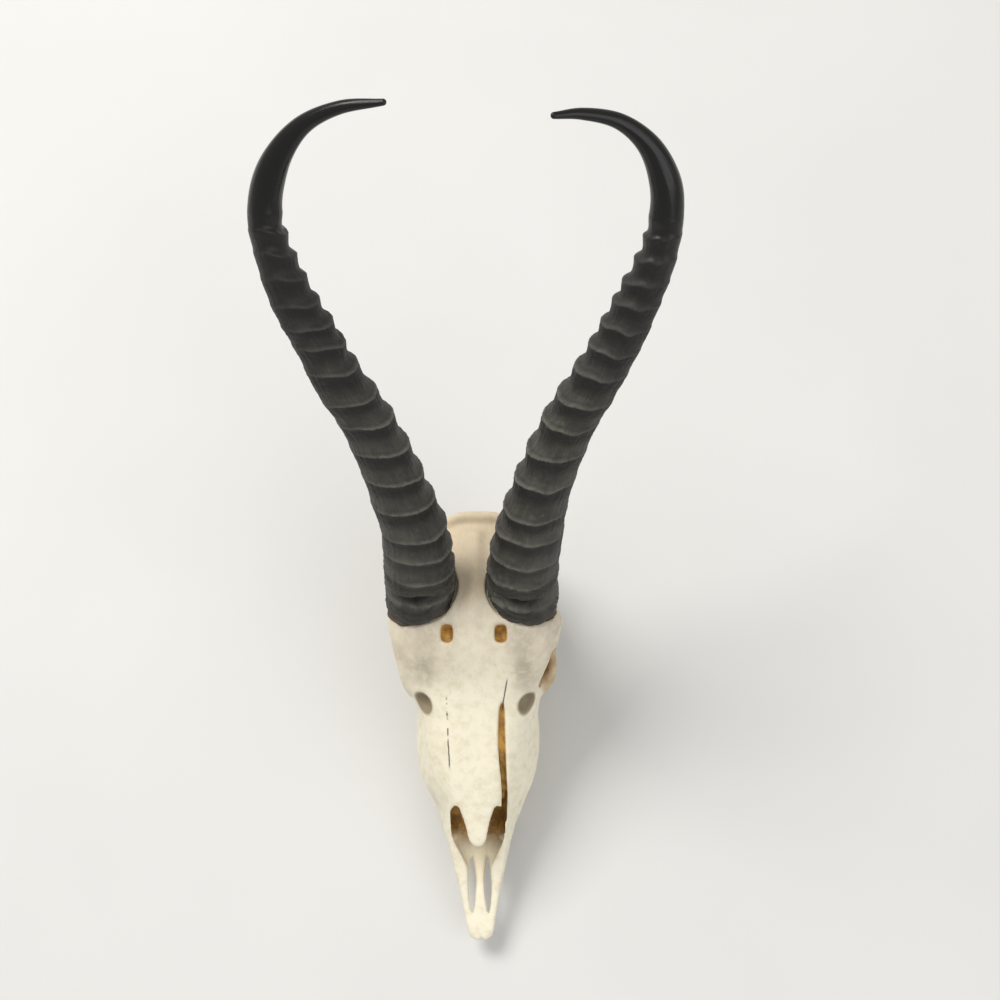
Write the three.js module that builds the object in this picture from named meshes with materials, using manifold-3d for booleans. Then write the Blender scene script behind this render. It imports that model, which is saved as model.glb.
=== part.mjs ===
// A springbok ram's skull without the lower jaw, resting on its cheek teeth and on the
// tips of its paroccipital processes. Millimetres, +Z up, nose towards -Y, the animal's
// left side towards +X. All shapes are drawn in the skull's own measuring frame, whose
// origin is the floor under the premaxilla's tip, and the whole group is moved at the end
// so that its origin is the middle of its footprint.

import * as THREE from "three";
import { LoftGeometry } from "three/addons/geometries/LoftGeometry.js";
import { mergeVertices } from "three/addons/utils/BufferGeometryUtils.js";
import Module from "manifold-3d";

const wasm = await Module();
wasm.setup();

// Driving dimensions of the skull

const ALVEOLAR_Z = 12; // height of the tooth sockets' rim above the floor
const ROOT_TOP_Z = 17; // how high the tooth roots reach into the jaw
const GAP = 0.3; // room kept between pieces that touch
const TIP_SWAY = 2; // the premaxillae lean this far to the animal's left at their tip
const SWAY_LENGTH = 90; // and are straight again this far back
const SWAY_POWER = 1.2; // 1 gives a straight lean, more a bend that grows towards the tip
const POINT_TOLERANCE = 1e-4; // points closer than this are one

// How finely the lofted forms are drawn, along them and around them.

const SHELL_MESH = { steps: 23, sides: 22 };
const NASAL_CAVITY_MESH = { steps: 8, sides: 14 };
const NASAL_TIP_MESH = { steps: 6, sides: 10 };
const HORN_SIDES = 12;
const HORN_ARC_DIVISIONS = 600; // for measuring distances up a horn

// Driving dimensions of the horns

const HORN_BASE_RADIUS = 17.2;
const HORN_SEAT_TILT = 0.27; // rise of the horn's seat towards the midline, per mm
const HORN_SEAT_FADE = 16; // length of horn over which that slope dies out

// Half outlines of the skull at stations from nose to occiput: distance back from the
// premaxilla's tip, then [x, z] from the upper midline round to the lower midline.

const SKULL_STATIONS = [
  { y: 0, half: [[0, 14.2], [2.6, 14.1], [4.2, 13.4], [4.6, 12.5], [4.2, 11.5], [2.6, 10.9], [0, 10.8]] },
  { y: 8, half: [[0, 17], [4.6, 16.6], [6.6, 15.6], [7.1, 14], [6.6, 12.2], [4, 11], [0, 10.8]] },
  { y: 20, half: [[0, 24], [6, 22.5], [8.5, 19.5], [9.3, 16.5], [8.6, 13.6], [5, 11.6], [0, 11.2]] },
  { y: 36, half: [[0, 36], [8.4, 33], [12, 27], [13, 21], [12.4, 16], [7.4, 12.8], [0, 12.4]] },
  { y: 50, half: [[0, 45], [9.4, 43], [14.2, 35], [16.2, 27], [15.8, 19.5], [10.6, 14.6], [0, 14]] },
  { y: 62, half: [[0, 51], [10.5, 49.5], [15.8, 41], [18.4, 31], [18.6, 22], [14, 16], [0, 16]] },
  { y: 75, half: [[0, 57.5], [13, 56.5], [19.8, 49], [24.6, 38], [26.2, 25], [20.5, 17], [0, 18]] },
  { y: 90, half: [[0, 64.5], [14, 64], [21.4, 58.5], [27.4, 44], [30.4, 27], [25, 17], [0, 19]] },
  { y: 104, half: [[0, 71.5], [15, 71], [23.6, 65], [28.8, 48], [30.8, 29], [26, 17], [0, 20]] },
  { y: 116, half: [[0, 79], [18, 78], [32, 68], [31, 54], [29.5, 34], [26, 18], [0, 22]] },
  { y: 128, half: [[0, 88], [20, 87], [37.6, 79], [37, 60], [34, 42], [25, 24], [0, 26]] },
  { y: 140, half: [[0, 96], [22, 94], [40, 84], [40, 64], [38, 44], [20, 34], [0, 32]] },
  { y: 149, half: [[0, 97.5], [24, 94], [41.5, 81], [38, 62], [31, 44], [16, 33], [0, 30]] },
  { y: 160, half: [[0, 93.5], [22, 89], [33, 76], [33.5, 58], [29, 42], [14, 30], [0, 27]] },
  { y: 172, half: [[0, 87], [20, 82], [30, 70], [31, 55], [27, 39], [13, 26], [0, 23]] },
  { y: 186, half: [[0, 78.5], [17, 75], [27, 65], [28.5, 52], [25, 38], [13, 25], [0, 20]] },
  { y: 197, half: [[0, 72.5], [15, 69], [22, 60], [24, 50], [21, 38], [12, 26], [0, 20]] },
  { y: 203, half: [[0, 70], [13, 66], [18.5, 58], [20, 49], [18, 38], [10, 27], [0, 22]] },
];

// The hollow of the nose, open in front.

const NASAL_CAVITY_STATIONS = [
  { y: 14, half: [[0, 20], [2, 19.8], [3.4, 18.8], [3.8, 17.4], [3.4, 16.4], [2, 16], [0, 16]] },
  { y: 36, half: [[0, 33], [5.2, 31.5], [7.2, 27], [7.2, 22.5], [6.4, 18.4], [4.4, 16.8], [0, 16.8]] },
  { y: 50, half: [[0, 42.5], [8, 40.5], [11.8, 34], [13.4, 27], [12.8, 20.6], [9, 18.4], [0, 18.4]] },
  { y: 62, half: [[0, 48.6], [9.4, 47], [13.4, 40], [15.8, 31], [15.6, 23], [12, 20.4], [0, 20.4]] },
  { y: 75, half: [[0, 55], [11, 54], [16.4, 47.4], [20, 38], [19.6, 27], [15, 23], [0, 23]] },
  { y: 92, half: [[0, 62], [11, 61], [16, 54], [20, 43], [19.6, 31], [15, 26], [0, 26]] },
  { y: 106, half: [[0, 62], [6, 60], [10, 54], [12, 45], [11, 37], [7, 32], [0, 32]] },
];

// The roof of the nose in front of the face, ending in a rounded point.

const NASAL_TIP_STATIONS = [
  { y: 41, top: 39.4, halfWidth: 1.2 },
  { y: 43.5, top: 41, halfWidth: 4.2 },
  { y: 47.5, top: 43.2, halfWidth: 6.4 },
  { y: 53, top: 46, halfWidth: 7.8 },
  { y: 58.5, top: 48.8, halfWidth: 10.2 },
  { y: 64, top: 51.6, halfWidth: 12.2 },
  { y: 70, top: 54.6, halfWidth: 12.8 },
];
const NASAL_THICKNESS = 2.2;
const NASAL_ARCH = { share: 0.12, most: 1.2 }; // fall of its sides, per mm of half width

// Side view of the bony nose opening: all above this line is open. [y, z]

const NOSE_OPENING_EDGE = [
  [-8, 14.6], [6, 15.4], [16, 17.6], [30, 22.5], [42, 29.5], [52, 38], [58, 46],
];

// Forms of one side, drawn on the left and mirrored. An ellipsoid has a centre, half sizes
// across, along and up, and a pitch. A bar has a path of [x, y, z, radius].

const ORBIT = { centre: [38.5, 135, 58.5], radii: [25, 17.5, 17.5], around: 18, rings: 10 };
const BEHIND_ORBIT = { centre: [37, 154, 58], radii: [13, 15, 17], around: 12, rings: 7 };
const OCCIPITAL_CONDYLE = { centre: [9.6, 203, 28], radii: [7, 8, 9.5], pitch: -0.3, around: 8, rings: 6 };
const JAW_JOINT = { centre: [27, 172, 39], radii: [10, 8, 5], around: 8, rings: 5 };
const EAR_BULLA = { centre: [15.5, 169, 25], radii: [7, 11, 9], around: 8, rings: 6 };
const BROW_FORAMEN = { centre: [13, 137, 95], radii: [2.4, 3.6, 5], around: 8, rings: 6 };
const LACRIMAL_PIT = { centre: [26, 108.5, 66.5], radii: [4, 4.6, 4], around: 8, rings: 6 };
const PALATAL_SLIT = { centre: [4, 28.5, 14], radii: [1.9, 16, 9], around: 6, rings: 6 };
const ZYGOMATIC_ARCH = [
  [25, 110, 42, 6], [28.6, 120, 41.5, 5], [36.4, 129, 41.5, 4], [36.8, 141, 42, 3.5],
  [37, 154, 42, 3.2], [33.5, 167, 40.5, 4], [21, 177, 41, 5],
];
const POSTORBITAL_BAR = [
  [36, 146, 84, 5], [39.2, 149, 76, 4], [39.4, 152, 62, 3.2], [37.4, 151, 50, 3.4], [36.4, 149, 42, 3.6],
];
const PAROCCIPITAL_PROCESS = [
  [22, 189, 46, 7], [22.6, 190, 26, 5], [22, 191.5, 9, 3.2], [22, 191.5, 0, 2.4],
];
const PTERYGOID_PLATE = [[12, 118, 27, 4], [9.5, 133, 27.5, 6], [8.6, 144, 28.5, 6], [9, 154, 32, 3.5]];

// Forms on the midline.

const PALATE_VAULT = { centre: [0, 88, 11], radii: [13.5, 44, 8.5], around: 12, rings: 8 };
const CHOANA = { centre: [0, 138, 27], radii: [7.5, 22, 9], around: 10, rings: 6 };
const BRAIN_CAVITY = { centre: [0, 172, 54], radii: [23, 25, 20], around: 12, rings: 7 };
const FORAMEN_MAGNUM = { centre: [0, 198, 39], radii: [9.5, 18, 8.5], around: 10, rings: 6 };
const NASAL_FISSURE = {
  centre: [13.6, 85, 60.5], radii: [1.1, 27, 4.6], pitch: 0.44, around: 6, rings: 8,
};
const NUCHAL_CREST = [
  [-25, 189, 55, 2.5], [-20.5, 196, 63.5, 3], [-11, 202.6, 70, 3], [0, 203, 70.8, 3.2],
  [11, 202.6, 70, 3], [20.5, 196, 63.5, 3], [25, 189, 55, 2.5],
];

// Cheek teeth of one side, front to back: length along the row and width across it.

const CHEEK_TEETH = [
  { name: "premolar_2", length: 6.6, width: 5.6, lobes: 1 },
  { name: "premolar_3", length: 7.6, width: 6.6, lobes: 1 },
  { name: "premolar_4", length: 7.6, width: 7.8, lobes: 1 },
  { name: "molar_1", length: 11.2, width: 9.4, lobes: 2 },
  { name: "molar_2", length: 12.6, width: 10, lobes: 2 },
  { name: "molar_3", length: 13.4, width: 9.6, lobes: 2 },
];
const TOOTH_ROW_START_Y = 63.5;
const TOOTH_SPACING = 0.45;
const TOOTH_PINCH = { depth: 0.14, halfLength: 0.16 }; // between two lobes, as shares of the tooth
const TOOTH_CORNER_POWER = 4; // 2 gives an ellipse, more gives a squarer tooth
const SOCKET_FLOOR_Z = 2; // the sockets are cut from here up, below the bone
const TOOTH_RIDGE_RADII = [4.4, 6.9, 6.9, 6.9, 6.9]; // of the ridge that holds the teeth
const TOOTH_RIDGE_RISE = 7; // its middle line is this far above the sockets' rim
const TOOTH_RIDGE_FRONT = [12.4, 50, 26, 2.4]; // where it dies out, [x, y, z, radius]
const TOOTH_RIDGE_BACK = [20.6, 137, 31, 3];

// Middle line of the left tooth row, [x, y].

const TOOTH_ROW = new THREE.SplineCurve([
  new THREE.Vector2(14.6, 60),
  new THREE.Vector2(17.6, 73),
  new THREE.Vector2(20.4, 88),
  new THREE.Vector2(22.2, 104),
  new THREE.Vector2(22.4, 118),
  new THREE.Vector2(21.6, 130),
]);

// Each horn: side is -1 on the right. Its ridges are given by the distances of their crests
// up the horn on its inner side, and above the last one the tip is smooth. Its axis runs
// from its seat to its tip, [x, y, z].

const RIGHT_HORN = {
  side: -1,
  ridges: [9.5, 22.5, 34.5, 46, 63, 81, 98.5, 117, 132.5, 151.5, 166, 177, 189.5, 203, 214.5, 226.5, 237],
  axis: [
    [-26, 158, 86.5], [-26, 168, 106], [-27, 180, 127], [-31, 188.5, 144], [-37, 200, 168],
    [-44.5, 211, 191], [-54.5, 221, 214.5], [-62, 231, 235], [-70, 241.5, 254.5],
    [-75.3, 252, 272], [-78.3, 262.5, 288], [-77, 270.5, 298], [-71, 279.5, 310.5],
    [-60, 287, 322], [-44.5, 289.5, 331.5], [-26.3, 287.6, 339],
  ],
};
const LEFT_HORN = {
  side: 1,
  ridges: [8, 20, 31, 45, 58, 77, 96, 115, 131, 148, 162, 175, 188, 199.5, 211, 222.5, 233],
  axis: [
    [23, 158, 86.5], [23.6, 168, 104.5], [26.5, 178, 122.5], [31, 189, 143],
    [38, 201, 166.5], [46, 211.5, 188], [56, 221, 208.5], [66.7, 232.6, 230.6],
    [74.6, 243.2, 249], [81.5, 253.8, 266], [85.7, 265, 282], [85.3, 274.2, 294],
    [78.5, 284, 308], [66.5, 289.2, 319], [51, 288, 328], [40.1, 284.7, 332.8],
  ],
};

// Half width of a horn, as a share of that at its base, at shares of its length.

const HORN_TAPER = [
  [0, 1], [0.1, 0.97], [0.2, 0.83], [0.3, 0.75], [0.4, 0.69], [0.5, 0.635], [0.6, 0.575],
  [0.68, 0.49], [0.74, 0.42], [0.8, 0.38], [0.84, 0.31], [0.88, 0.235], [0.92, 0.18],
  [0.96, 0.14], [1, 0.08],
];
const HORN_BASE_DEPTH = 1.2; // front to back over side to side at the base
const HORN_ROUND_FROM = 0.62; // share of the length from which a horn is round

// Relief of the horn's ridges.

const RIDGE_DEPTH = 2.3;
const RIDGE_FLOOR = 0.34; // where between two crests the groove is deepest, from the lower one
const RIDGE_OUTER_SHARE = 0.15; // depth on the outer side over that on the inner side
const RIDGE_SLANT = 0.32; // the ridges run further up on the outer side, per mm across
const RIDGE_SLANT_FROM = 0.25; // share of the length from which they slant fully
const RIDGE_FADE = [[0, 0.5], [0.15, 0.9], [0.45, 1], [0.62, 0.95], [0.72, 0.7], [0.77, 0], [1, 0]];
const SMOOTH_TIP_STEPS = 11;
const HORN_FRONT = new THREE.Vector3(0, -1, 0.35); // the way the horns' fronts face
const HORN_ROOM = 0.7; // bone stays this far from the horn's sides
const HORN_SEAT_STATIONS = [-GAP, 8, 18, 29, 40]; // distances up the horn
const PEDICLE_STATIONS = [-22, -8, 0, 8];
const PEDICLE_INSET = 1.2;

// A three.js geometry as a closed solid.

function solid(geometry) {
  const bare = new THREE.BufferGeometry();
  bare.setAttribute("position", geometry.getAttribute("position"));
  if (geometry.index) bare.setIndex(geometry.index);
  const merged = mergeVertices(bare, POINT_TOLERANCE);
  const triVerts = new Uint32Array(merged.index.array);
  const vertProperties = new Float32Array(merged.getAttribute("position").array);
  return new wasm.Manifold(new wasm.Mesh({ numProp: 3, vertProperties, triVerts }));
}

// A closed solid skinned through sections. They are turned, where needed, so that each
// runs anticlockwise as seen from the loft's end, which points its faces outwards.

function lofted(sections) {
  const centre = (section) =>
    section.reduce((sum, p) => sum.add(p), new THREE.Vector3()).divideScalar(section.length);
  const [first, second] = [centre(sections[0]), centre(sections[1])];
  const turning = new THREE.Vector3();
  sections[0].forEach((p, i) => {
    const next = sections[0][(i + 1) % sections[0].length];
    turning.add(new THREE.Vector3().crossVectors(p.clone().sub(first), next.clone().sub(first)));
  });
  const backwards = turning.dot(second.sub(first)) < 0;
  const ordered = backwards ? sections.map((section) => [...section].reverse()) : sections;
  return solid(new LoftGeometry(ordered, { capStart: true, capEnd: true }));
}

function geometryOf(made) {
  const mesh = made.getMesh();
  const geometry = new THREE.BufferGeometry();
  geometry.setAttribute("position", new THREE.BufferAttribute(mesh.vertProperties, 3));
  geometry.setIndex(new THREE.BufferAttribute(mesh.triVerts, 1));
  const flat = geometry.toNonIndexed();
  flat.computeVertexNormals();
  return flat;
}

function joined(solids) {
  return solids.reduce((whole, piece) => whole.add(piece));
}

// Half outlines mirrored into closed sections, with the stations joined by smooth rails.

function symmetricLoft(stations, { steps, sides }) {
  const rails = stations[0].half.map((_, k) => {
    const points = stations.map(({ y, half }) => new THREE.Vector3(half[k][0], y, half[k][1]));
    return new THREE.CatmullRomCurve3(points, false, "centripetal");
  });
  const sections = [];
  for (let i = 0; i <= steps; i++) {
    const half = rails.map((rail) => rail.getPoint(i / steps));
    const mirrored = half.slice(1, -1).reverse().map((p) => new THREE.Vector3(-p.x, p.y, p.z));
    const outline = new THREE.CatmullRomCurve3([...half, ...mirrored], true, "centripetal");
    const section = [];
    for (let j = 0; j < sides; j++) section.push(outline.getPoint(j / sides));
    sections.push(section);
  }
  return lofted(sections);
}

function ellipsoid({ centre: [x, y, z], radii, pitch = 0, around, rings }, side = 1) {
  const geometry = new THREE.SphereGeometry(1, around, rings);
  geometry.scale(...radii);
  geometry.rotateX(pitch);
  geometry.translate(side * x, y, z);
  return solid(geometry);
}

function ellipsoidPair(form) {
  return ellipsoid(form, 1).add(ellipsoid(form, -1));
}

// A round bar of changing thickness along a smooth path of [x, y, z, radius], flattened
// in the direction of squash.

const ACROSS = new THREE.Vector3(1, 0, 0);
const LENGTHWISE = new THREE.Vector3(0, 1, 0);

function bar(path, { steps, sides, squash = ACROSS, flat = 1, side = 1 }) {
  const centre = new THREE.CatmullRomCurve3(path.map(([x, y, z]) => new THREE.Vector3(side * x, y, z)));
  const girth = new THREE.SplineCurve(path.map((p, i) => new THREE.Vector2(i, p[3])));
  const sections = [];
  for (let i = 0; i <= steps; i++) {
    const along = centre.getTangent(i / steps);
    const thin = squash.clone().projectOnPlane(along).normalize();
    const broad = new THREE.Vector3().crossVectors(along, thin);
    const middle = centre.getPoint(i / steps);
    const radius = girth.getPoint(i / steps).y;
    const section = [];
    for (let j = 0; j < sides; j++) {
      const angle = (2 * Math.PI * j) / sides;
      section.push(
        middle
          .clone()
          .addScaledVector(thin, radius * flat * Math.cos(angle))
          .addScaledVector(broad, radius * Math.sin(angle)),
      );
    }
    sections.push(section);
  }
  return lofted(sections);
}

function barPair(path, form) {
  return bar(path, { ...form, side: 1 }).add(bar(path, { ...form, side: -1 }));
}

// The roof of the nose: a thin arched plate that follows its stations.

function nasalTip() {
  const stations = NASAL_TIP_STATIONS.map(({ y, top, halfWidth }) => {
    const arch = Math.min(NASAL_ARCH.most, NASAL_ARCH.share * halfWidth);
    const low = top - NASAL_THICKNESS;
    return {
      y,
      half: [
        [0, top], [0.5 * halfWidth, top - 0.25 * arch], [0.92 * halfWidth, top - 0.8 * arch],
        [halfWidth, top - arch - 0.5 * NASAL_THICKNESS], [0.92 * halfWidth, low - 0.8 * arch],
        [0.5 * halfWidth, low - 0.25 * arch], [0, low],
      ],
    };
  });
  return symmetricLoft(stations, NASAL_TIP_MESH);
}

// Everything in front of and above the nose opening's edge.

function noseOpening() {
  const [front, top, width] = [NOSE_OPENING_EDGE[0][0], 70, 60];
  const shape = new THREE.Shape();
  shape.moveTo(...NOSE_OPENING_EDGE[0]);
  shape.splineThru(NOSE_OPENING_EDGE.slice(1).map(([y, z]) => new THREE.Vector2(y, z)));
  shape.lineTo(NOSE_OPENING_EDGE.at(-1)[0], top);
  shape.lineTo(front, top);
  shape.closePath();
  const geometry = new THREE.ExtrudeGeometry(shape, {
    depth: width,
    bevelEnabled: false,
    curveSegments: 3,
  });
  // the drawing's x and y become the skull's y and z
  const axes = new THREE.Matrix4().makeBasis(LENGTHWISE, new THREE.Vector3(0, 0, 1), ACROSS);
  geometry.applyMatrix4(axes);
  geometry.translate(-width / 2, 0, 0);
  return solid(geometry);
}

// The ridges that hold the teeth, which die out in the bone at both ends.

function alveolarRidges() {
  const along = TOOTH_RIDGE_RADII.map((radius, i) => {
    const { x, y } = TOOTH_ROW.getPoint(i / (TOOTH_RIDGE_RADII.length - 1));
    return [x, y, ALVEOLAR_Z + TOOTH_RIDGE_RISE, radius];
  });
  return barPair([TOOTH_RIDGE_FRONT, ...along, TOOTH_RIDGE_BACK], { steps: 7, sides: 7 });
}

// Condyles, jaw joints, ear bullae, pterygoid plates, and the paroccipital processes on
// which the skull rests.

function skullBase() {
  return joined([
    ellipsoidPair(OCCIPITAL_CONDYLE),
    ellipsoidPair(JAW_JOINT),
    ellipsoidPair(EAR_BULLA),
    barPair(PAROCCIPITAL_PROCESS, { steps: 4, sides: 6, flat: 0.8 }),
    barPair(PTERYGOID_PLATE, { steps: 3, sides: 6, flat: 0.4 }),
  ]);
}

// Outline of one cheek tooth, length along Y, with one lobe or two.

function toothOutline(length, width, lobes) {
  const points = [];
  const around = lobes === 2 ? 14 : 8;
  for (let i = 0; i < around; i++) {
    const angle = (2 * Math.PI * i) / around;
    const along = Math.sin(angle);
    const across = Math.cos(angle);
    // a rounded box, pinched between its lobes
    const power = Math.abs(along) ** TOOTH_CORNER_POWER + Math.abs(across) ** TOOTH_CORNER_POWER;
    const x = 0.5 * across * power ** (-1 / TOOTH_CORNER_POWER);
    const y = 0.5 * along * power ** (-1 / TOOTH_CORNER_POWER);
    const nearMiddle = Math.exp(-((2 * y / TOOTH_PINCH.halfLength) ** 2));
    const pinch = lobes === 2 ? TOOTH_PINCH.depth * nearMiddle : 0;
    points.push(new THREE.Vector2(width * x * (1 - pinch), length * y));
  }
  return new THREE.Shape(points);
}

function cheekTooth({ length, width, lobes }, place, room, fromZ, toZ) {
  const outline = toothOutline(length + 2 * room, width + 2 * room, lobes);
  const geometry = new THREE.ExtrudeGeometry(outline, { depth: toZ - fromZ, bevelEnabled: false });
  geometry.rotateZ(place.turn);
  geometry.translate(place.x, place.y, fromZ);
  return solid(geometry);
}

// Where each tooth of one side stands: centre and turn, in row order.

function toothPlaces(side) {
  let y = TOOTH_ROW_START_Y;
  return CHEEK_TEETH.map((tooth) => {
    const middle = y + tooth.length / 2;
    y += tooth.length + TOOTH_SPACING;
    const { x, turn } = rowAt(middle);
    return { tooth, place: { x: side * x, y: middle, turn: side * turn } };
  });
}

function rowAt(y) {
  let low = 0;
  let high = 1;
  while (high - low > POINT_TOLERANCE) {
    const middle = (low + high) / 2;
    if (TOOTH_ROW.getPoint(middle).y < y) low = middle;
    else high = middle;
  }
  const point = TOOTH_ROW.getPoint(low);
  const tangent = TOOTH_ROW.getTangent(low);
  return { x: point.x, turn: -Math.atan2(tangent.x, tangent.y) };
}

// The value of a table of [position, value] pairs at a position.

function alongTable(table, t) {
  const next = table.findIndex(([at]) => at >= t);
  if (next === 0) return table[0][1];
  const [t0, value0] = table[next - 1];
  const [t1, value1] = table[next];
  return THREE.MathUtils.mapLinear(t, t0, t1, value0, value1);
}

function hornAxis(horn) {
  const axis = new THREE.CatmullRomCurve3(horn.axis.map((p) => new THREE.Vector3(...p)));
  axis.arcLengthDivisions = HORN_ARC_DIVISIONS;
  return axis;
}

// Distances up the horn: the crest and the groove of each ridge, then an even pace.

function hornStations({ ridges }, length) {
  const stations = [0];
  ridges.forEach((crest, i) => {
    const next = ridges[i + 1];
    stations.push(crest);
    if (next) stations.push(crest + RIDGE_FLOOR * (next - crest));
  });
  for (let i = 1; i <= SMOOTH_TIP_STEPS; i++) {
    stations.push(THREE.MathUtils.lerp(ridges.at(-1), length, i / SMOOTH_TIP_STEPS));
  }
  return stations;
}

// Depth of the relief at a station: nothing on a crest, full in the groove between two.

function grooveDepth({ ridges }, distance) {
  const onCrest = distance === 0 || distance >= ridges.at(-1) || ridges.includes(distance);
  return onCrest ? 0 : RIDGE_DEPTH;
}

// Sections of a horn at distances along its axis; room widens it evenly. A ridged
// section is grooved, most in front and on the inner side, and rises outwards.

function hornSections(horn, distances, room, ridged) {
  const axis = hornAxis(horn);
  const length = axis.getLength();
  return distances.map((distance) => {
    const t = THREE.MathUtils.clamp(distance / length, 0, 1);
    const along = axis.getTangentAt(t);
    const forward = HORN_FRONT.clone().projectOnPlane(along).normalize();
    const outward = new THREE.Vector3().crossVectors(along, forward).multiplyScalar(horn.side);
    const centre = axis.getPointAt(t).addScaledVector(along, Math.min(distance, 0));
    const halfWidth = HORN_BASE_RADIUS * alongTable(HORN_TAPER, t) + room;
    const roundness = Math.min(t / HORN_ROUND_FROM, 1);
    const halfDepth = halfWidth * THREE.MathUtils.lerp(HORN_BASE_DEPTH, 1, roundness);
    const relief = ridged ? alongTable(RIDGE_FADE, t) : 0;
    const groove = grooveDepth(horn, distance) * relief;
    const rise = RIDGE_SLANT * relief * Math.min(t / RIDGE_SLANT_FROM, 1);
    const seat = HORN_SEAT_TILT * Math.max(0, 1 - Math.max(distance, 0) / HORN_SEAT_FADE);
    const section = [];
    for (let j = 0; j < HORN_SIDES; j++) {
      const angle = (2 * Math.PI * j) / HORN_SIDES;
      const outerness = (1 + Math.cos(angle)) / 2;
      const cut = groove * THREE.MathUtils.lerp(1, RIDGE_OUTER_SHARE, outerness);
      const x = (halfWidth - cut) * Math.cos(angle);
      const y = (halfDepth - cut) * Math.sin(angle);
      const lift = rise * (x + halfWidth) - seat * x;
      const point = centre.clone().addScaledVector(outward, x).addScaledVector(forward, y);
      section.push(point.addScaledVector(along, lift));
    }
    return section;
  });
}

function hornSolid(horn) {
  const stations = hornStations(horn, hornAxis(horn).getLength());
  return lofted(hornSections(horn, stations, 0, true));
}

// The room that a horn's lower end takes in the skull roof.

function hornSeat(horn) {
  return lofted(hornSections(horn, HORN_SEAT_STATIONS, HORN_ROOM, false));
}

// The bony pedicle under a horn, a little narrower than the horn.

function pedicle(horn) {
  return lofted(hornSections(horn, PEDICLE_STATIONS, -PEDICLE_INSET, false));
}

function cranium() {
  const shell = symmetricLoft(SKULL_STATIONS, SHELL_MESH);
  const cavity = symmetricLoft(NASAL_CAVITY_STATIONS, NASAL_CAVITY_MESH);
  const hollowNose = shell.subtract(cavity).subtract(noseOpening());

  const crest = bar(NUCHAL_CREST, { steps: 10, sides: 6, squash: LENGTHWISE, flat: 0.8 });
  const pedicles = pedicle(RIGHT_HORN).add(pedicle(LEFT_HORN));
  const added = joined([nasalTip(), crest, alveolarRidges(), skullBase(), pedicles]);

  const cuts = joined([
    ...[PALATE_VAULT, CHOANA, BRAIN_CAVITY, FORAMEN_MAGNUM, NASAL_FISSURE].map((form) => ellipsoid(form)),
    ...[ORBIT, BEHIND_ORBIT, BROW_FORAMEN, LACRIMAL_PIT, PALATAL_SLIT].map(ellipsoidPair),
  ]);

  const arches = barPair(ZYGOMATIC_ARCH, { steps: 8, sides: 6, flat: 0.72 });
  const postorbitalBars = barPair(POSTORBITAL_BAR, { steps: 4, sides: 6, flat: 0.8 });
  const seats = hornSeat(RIGHT_HORN).add(hornSeat(LEFT_HORN));
  const sockets = [1, -1].flatMap((side) =>
    toothPlaces(side).map(({ tooth, place }) =>
      cheekTooth(tooth, place, GAP, SOCKET_FLOOR_Z, ROOT_TOP_Z + GAP),
    ),
  );
  return hollowNose
    .add(added)
    .subtract(cuts)
    .add(arches)
    .add(postorbitalBars)
    .subtract(seats)
    .subtract(joined(sockets));
}

// Bends the front of the nose, with its teeth, a little to the animal's left.

function bendNose(geometry) {
  const position = geometry.getAttribute("position");
  for (let i = 0; i < position.count; i++) {
    const reach = Math.max(0, 1 - position.getY(i) / SWAY_LENGTH);
    position.setX(i, position.getX(i) + TIP_SWAY * reach ** SWAY_POWER);
  }
  geometry.computeVertexNormals();
}

const boneMaterial = new THREE.MeshStandardMaterial({ color: 0xe2dac6, roughness: 0.62, metalness: 0 });
const hornMaterial = new THREE.MeshStandardMaterial({ color: 0x2f2c29, roughness: 0.5, metalness: 0 });
const toothMaterial = new THREE.MeshStandardMaterial({ color: 0xd9cdb0, roughness: 0.35, metalness: 0 });

function named(name, made, material) {
  const mesh = new THREE.Mesh(geometryOf(made), material);
  mesh.name = name;
  return mesh;
}

const skull = new THREE.Group();
skull.add(named("cranium", cranium(), boneMaterial));
for (const [sideName, side] of [["left", 1], ["right", -1]]) {
  for (const { tooth, place } of toothPlaces(side)) {
    const made = cheekTooth(tooth, place, 0, 0, ROOT_TOP_Z);
    skull.add(named(`${tooth.name}_${sideName}`, made, toothMaterial));
  }
}
skull.children.forEach((mesh) => bendNose(mesh.geometry));
skull.add(named("horn_right", hornSolid(RIGHT_HORN), hornMaterial));
skull.add(named("horn_left", hornSolid(LEFT_HORN), hornMaterial));

const box = new THREE.Box3().setFromObject(skull);
const middle = box.getCenter(new THREE.Vector3());
skull.position.set(-middle.x, -middle.y, -box.min.z);

export default skull;
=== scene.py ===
# The looks of a springbok ram's skull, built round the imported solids. The bone is modelled
# as a distance field in the skull's own measuring frame (millimetres; origin on the floor
# under the premaxilla's tip, Y back, Z up, X to the animal's left), then meshed and moved
# into the frame of the solids. Horns and teeth are meshes made from their own sections.

import math

import bpy
import numpy as np
import openvdb
from mathutils import Matrix, Vector


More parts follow.
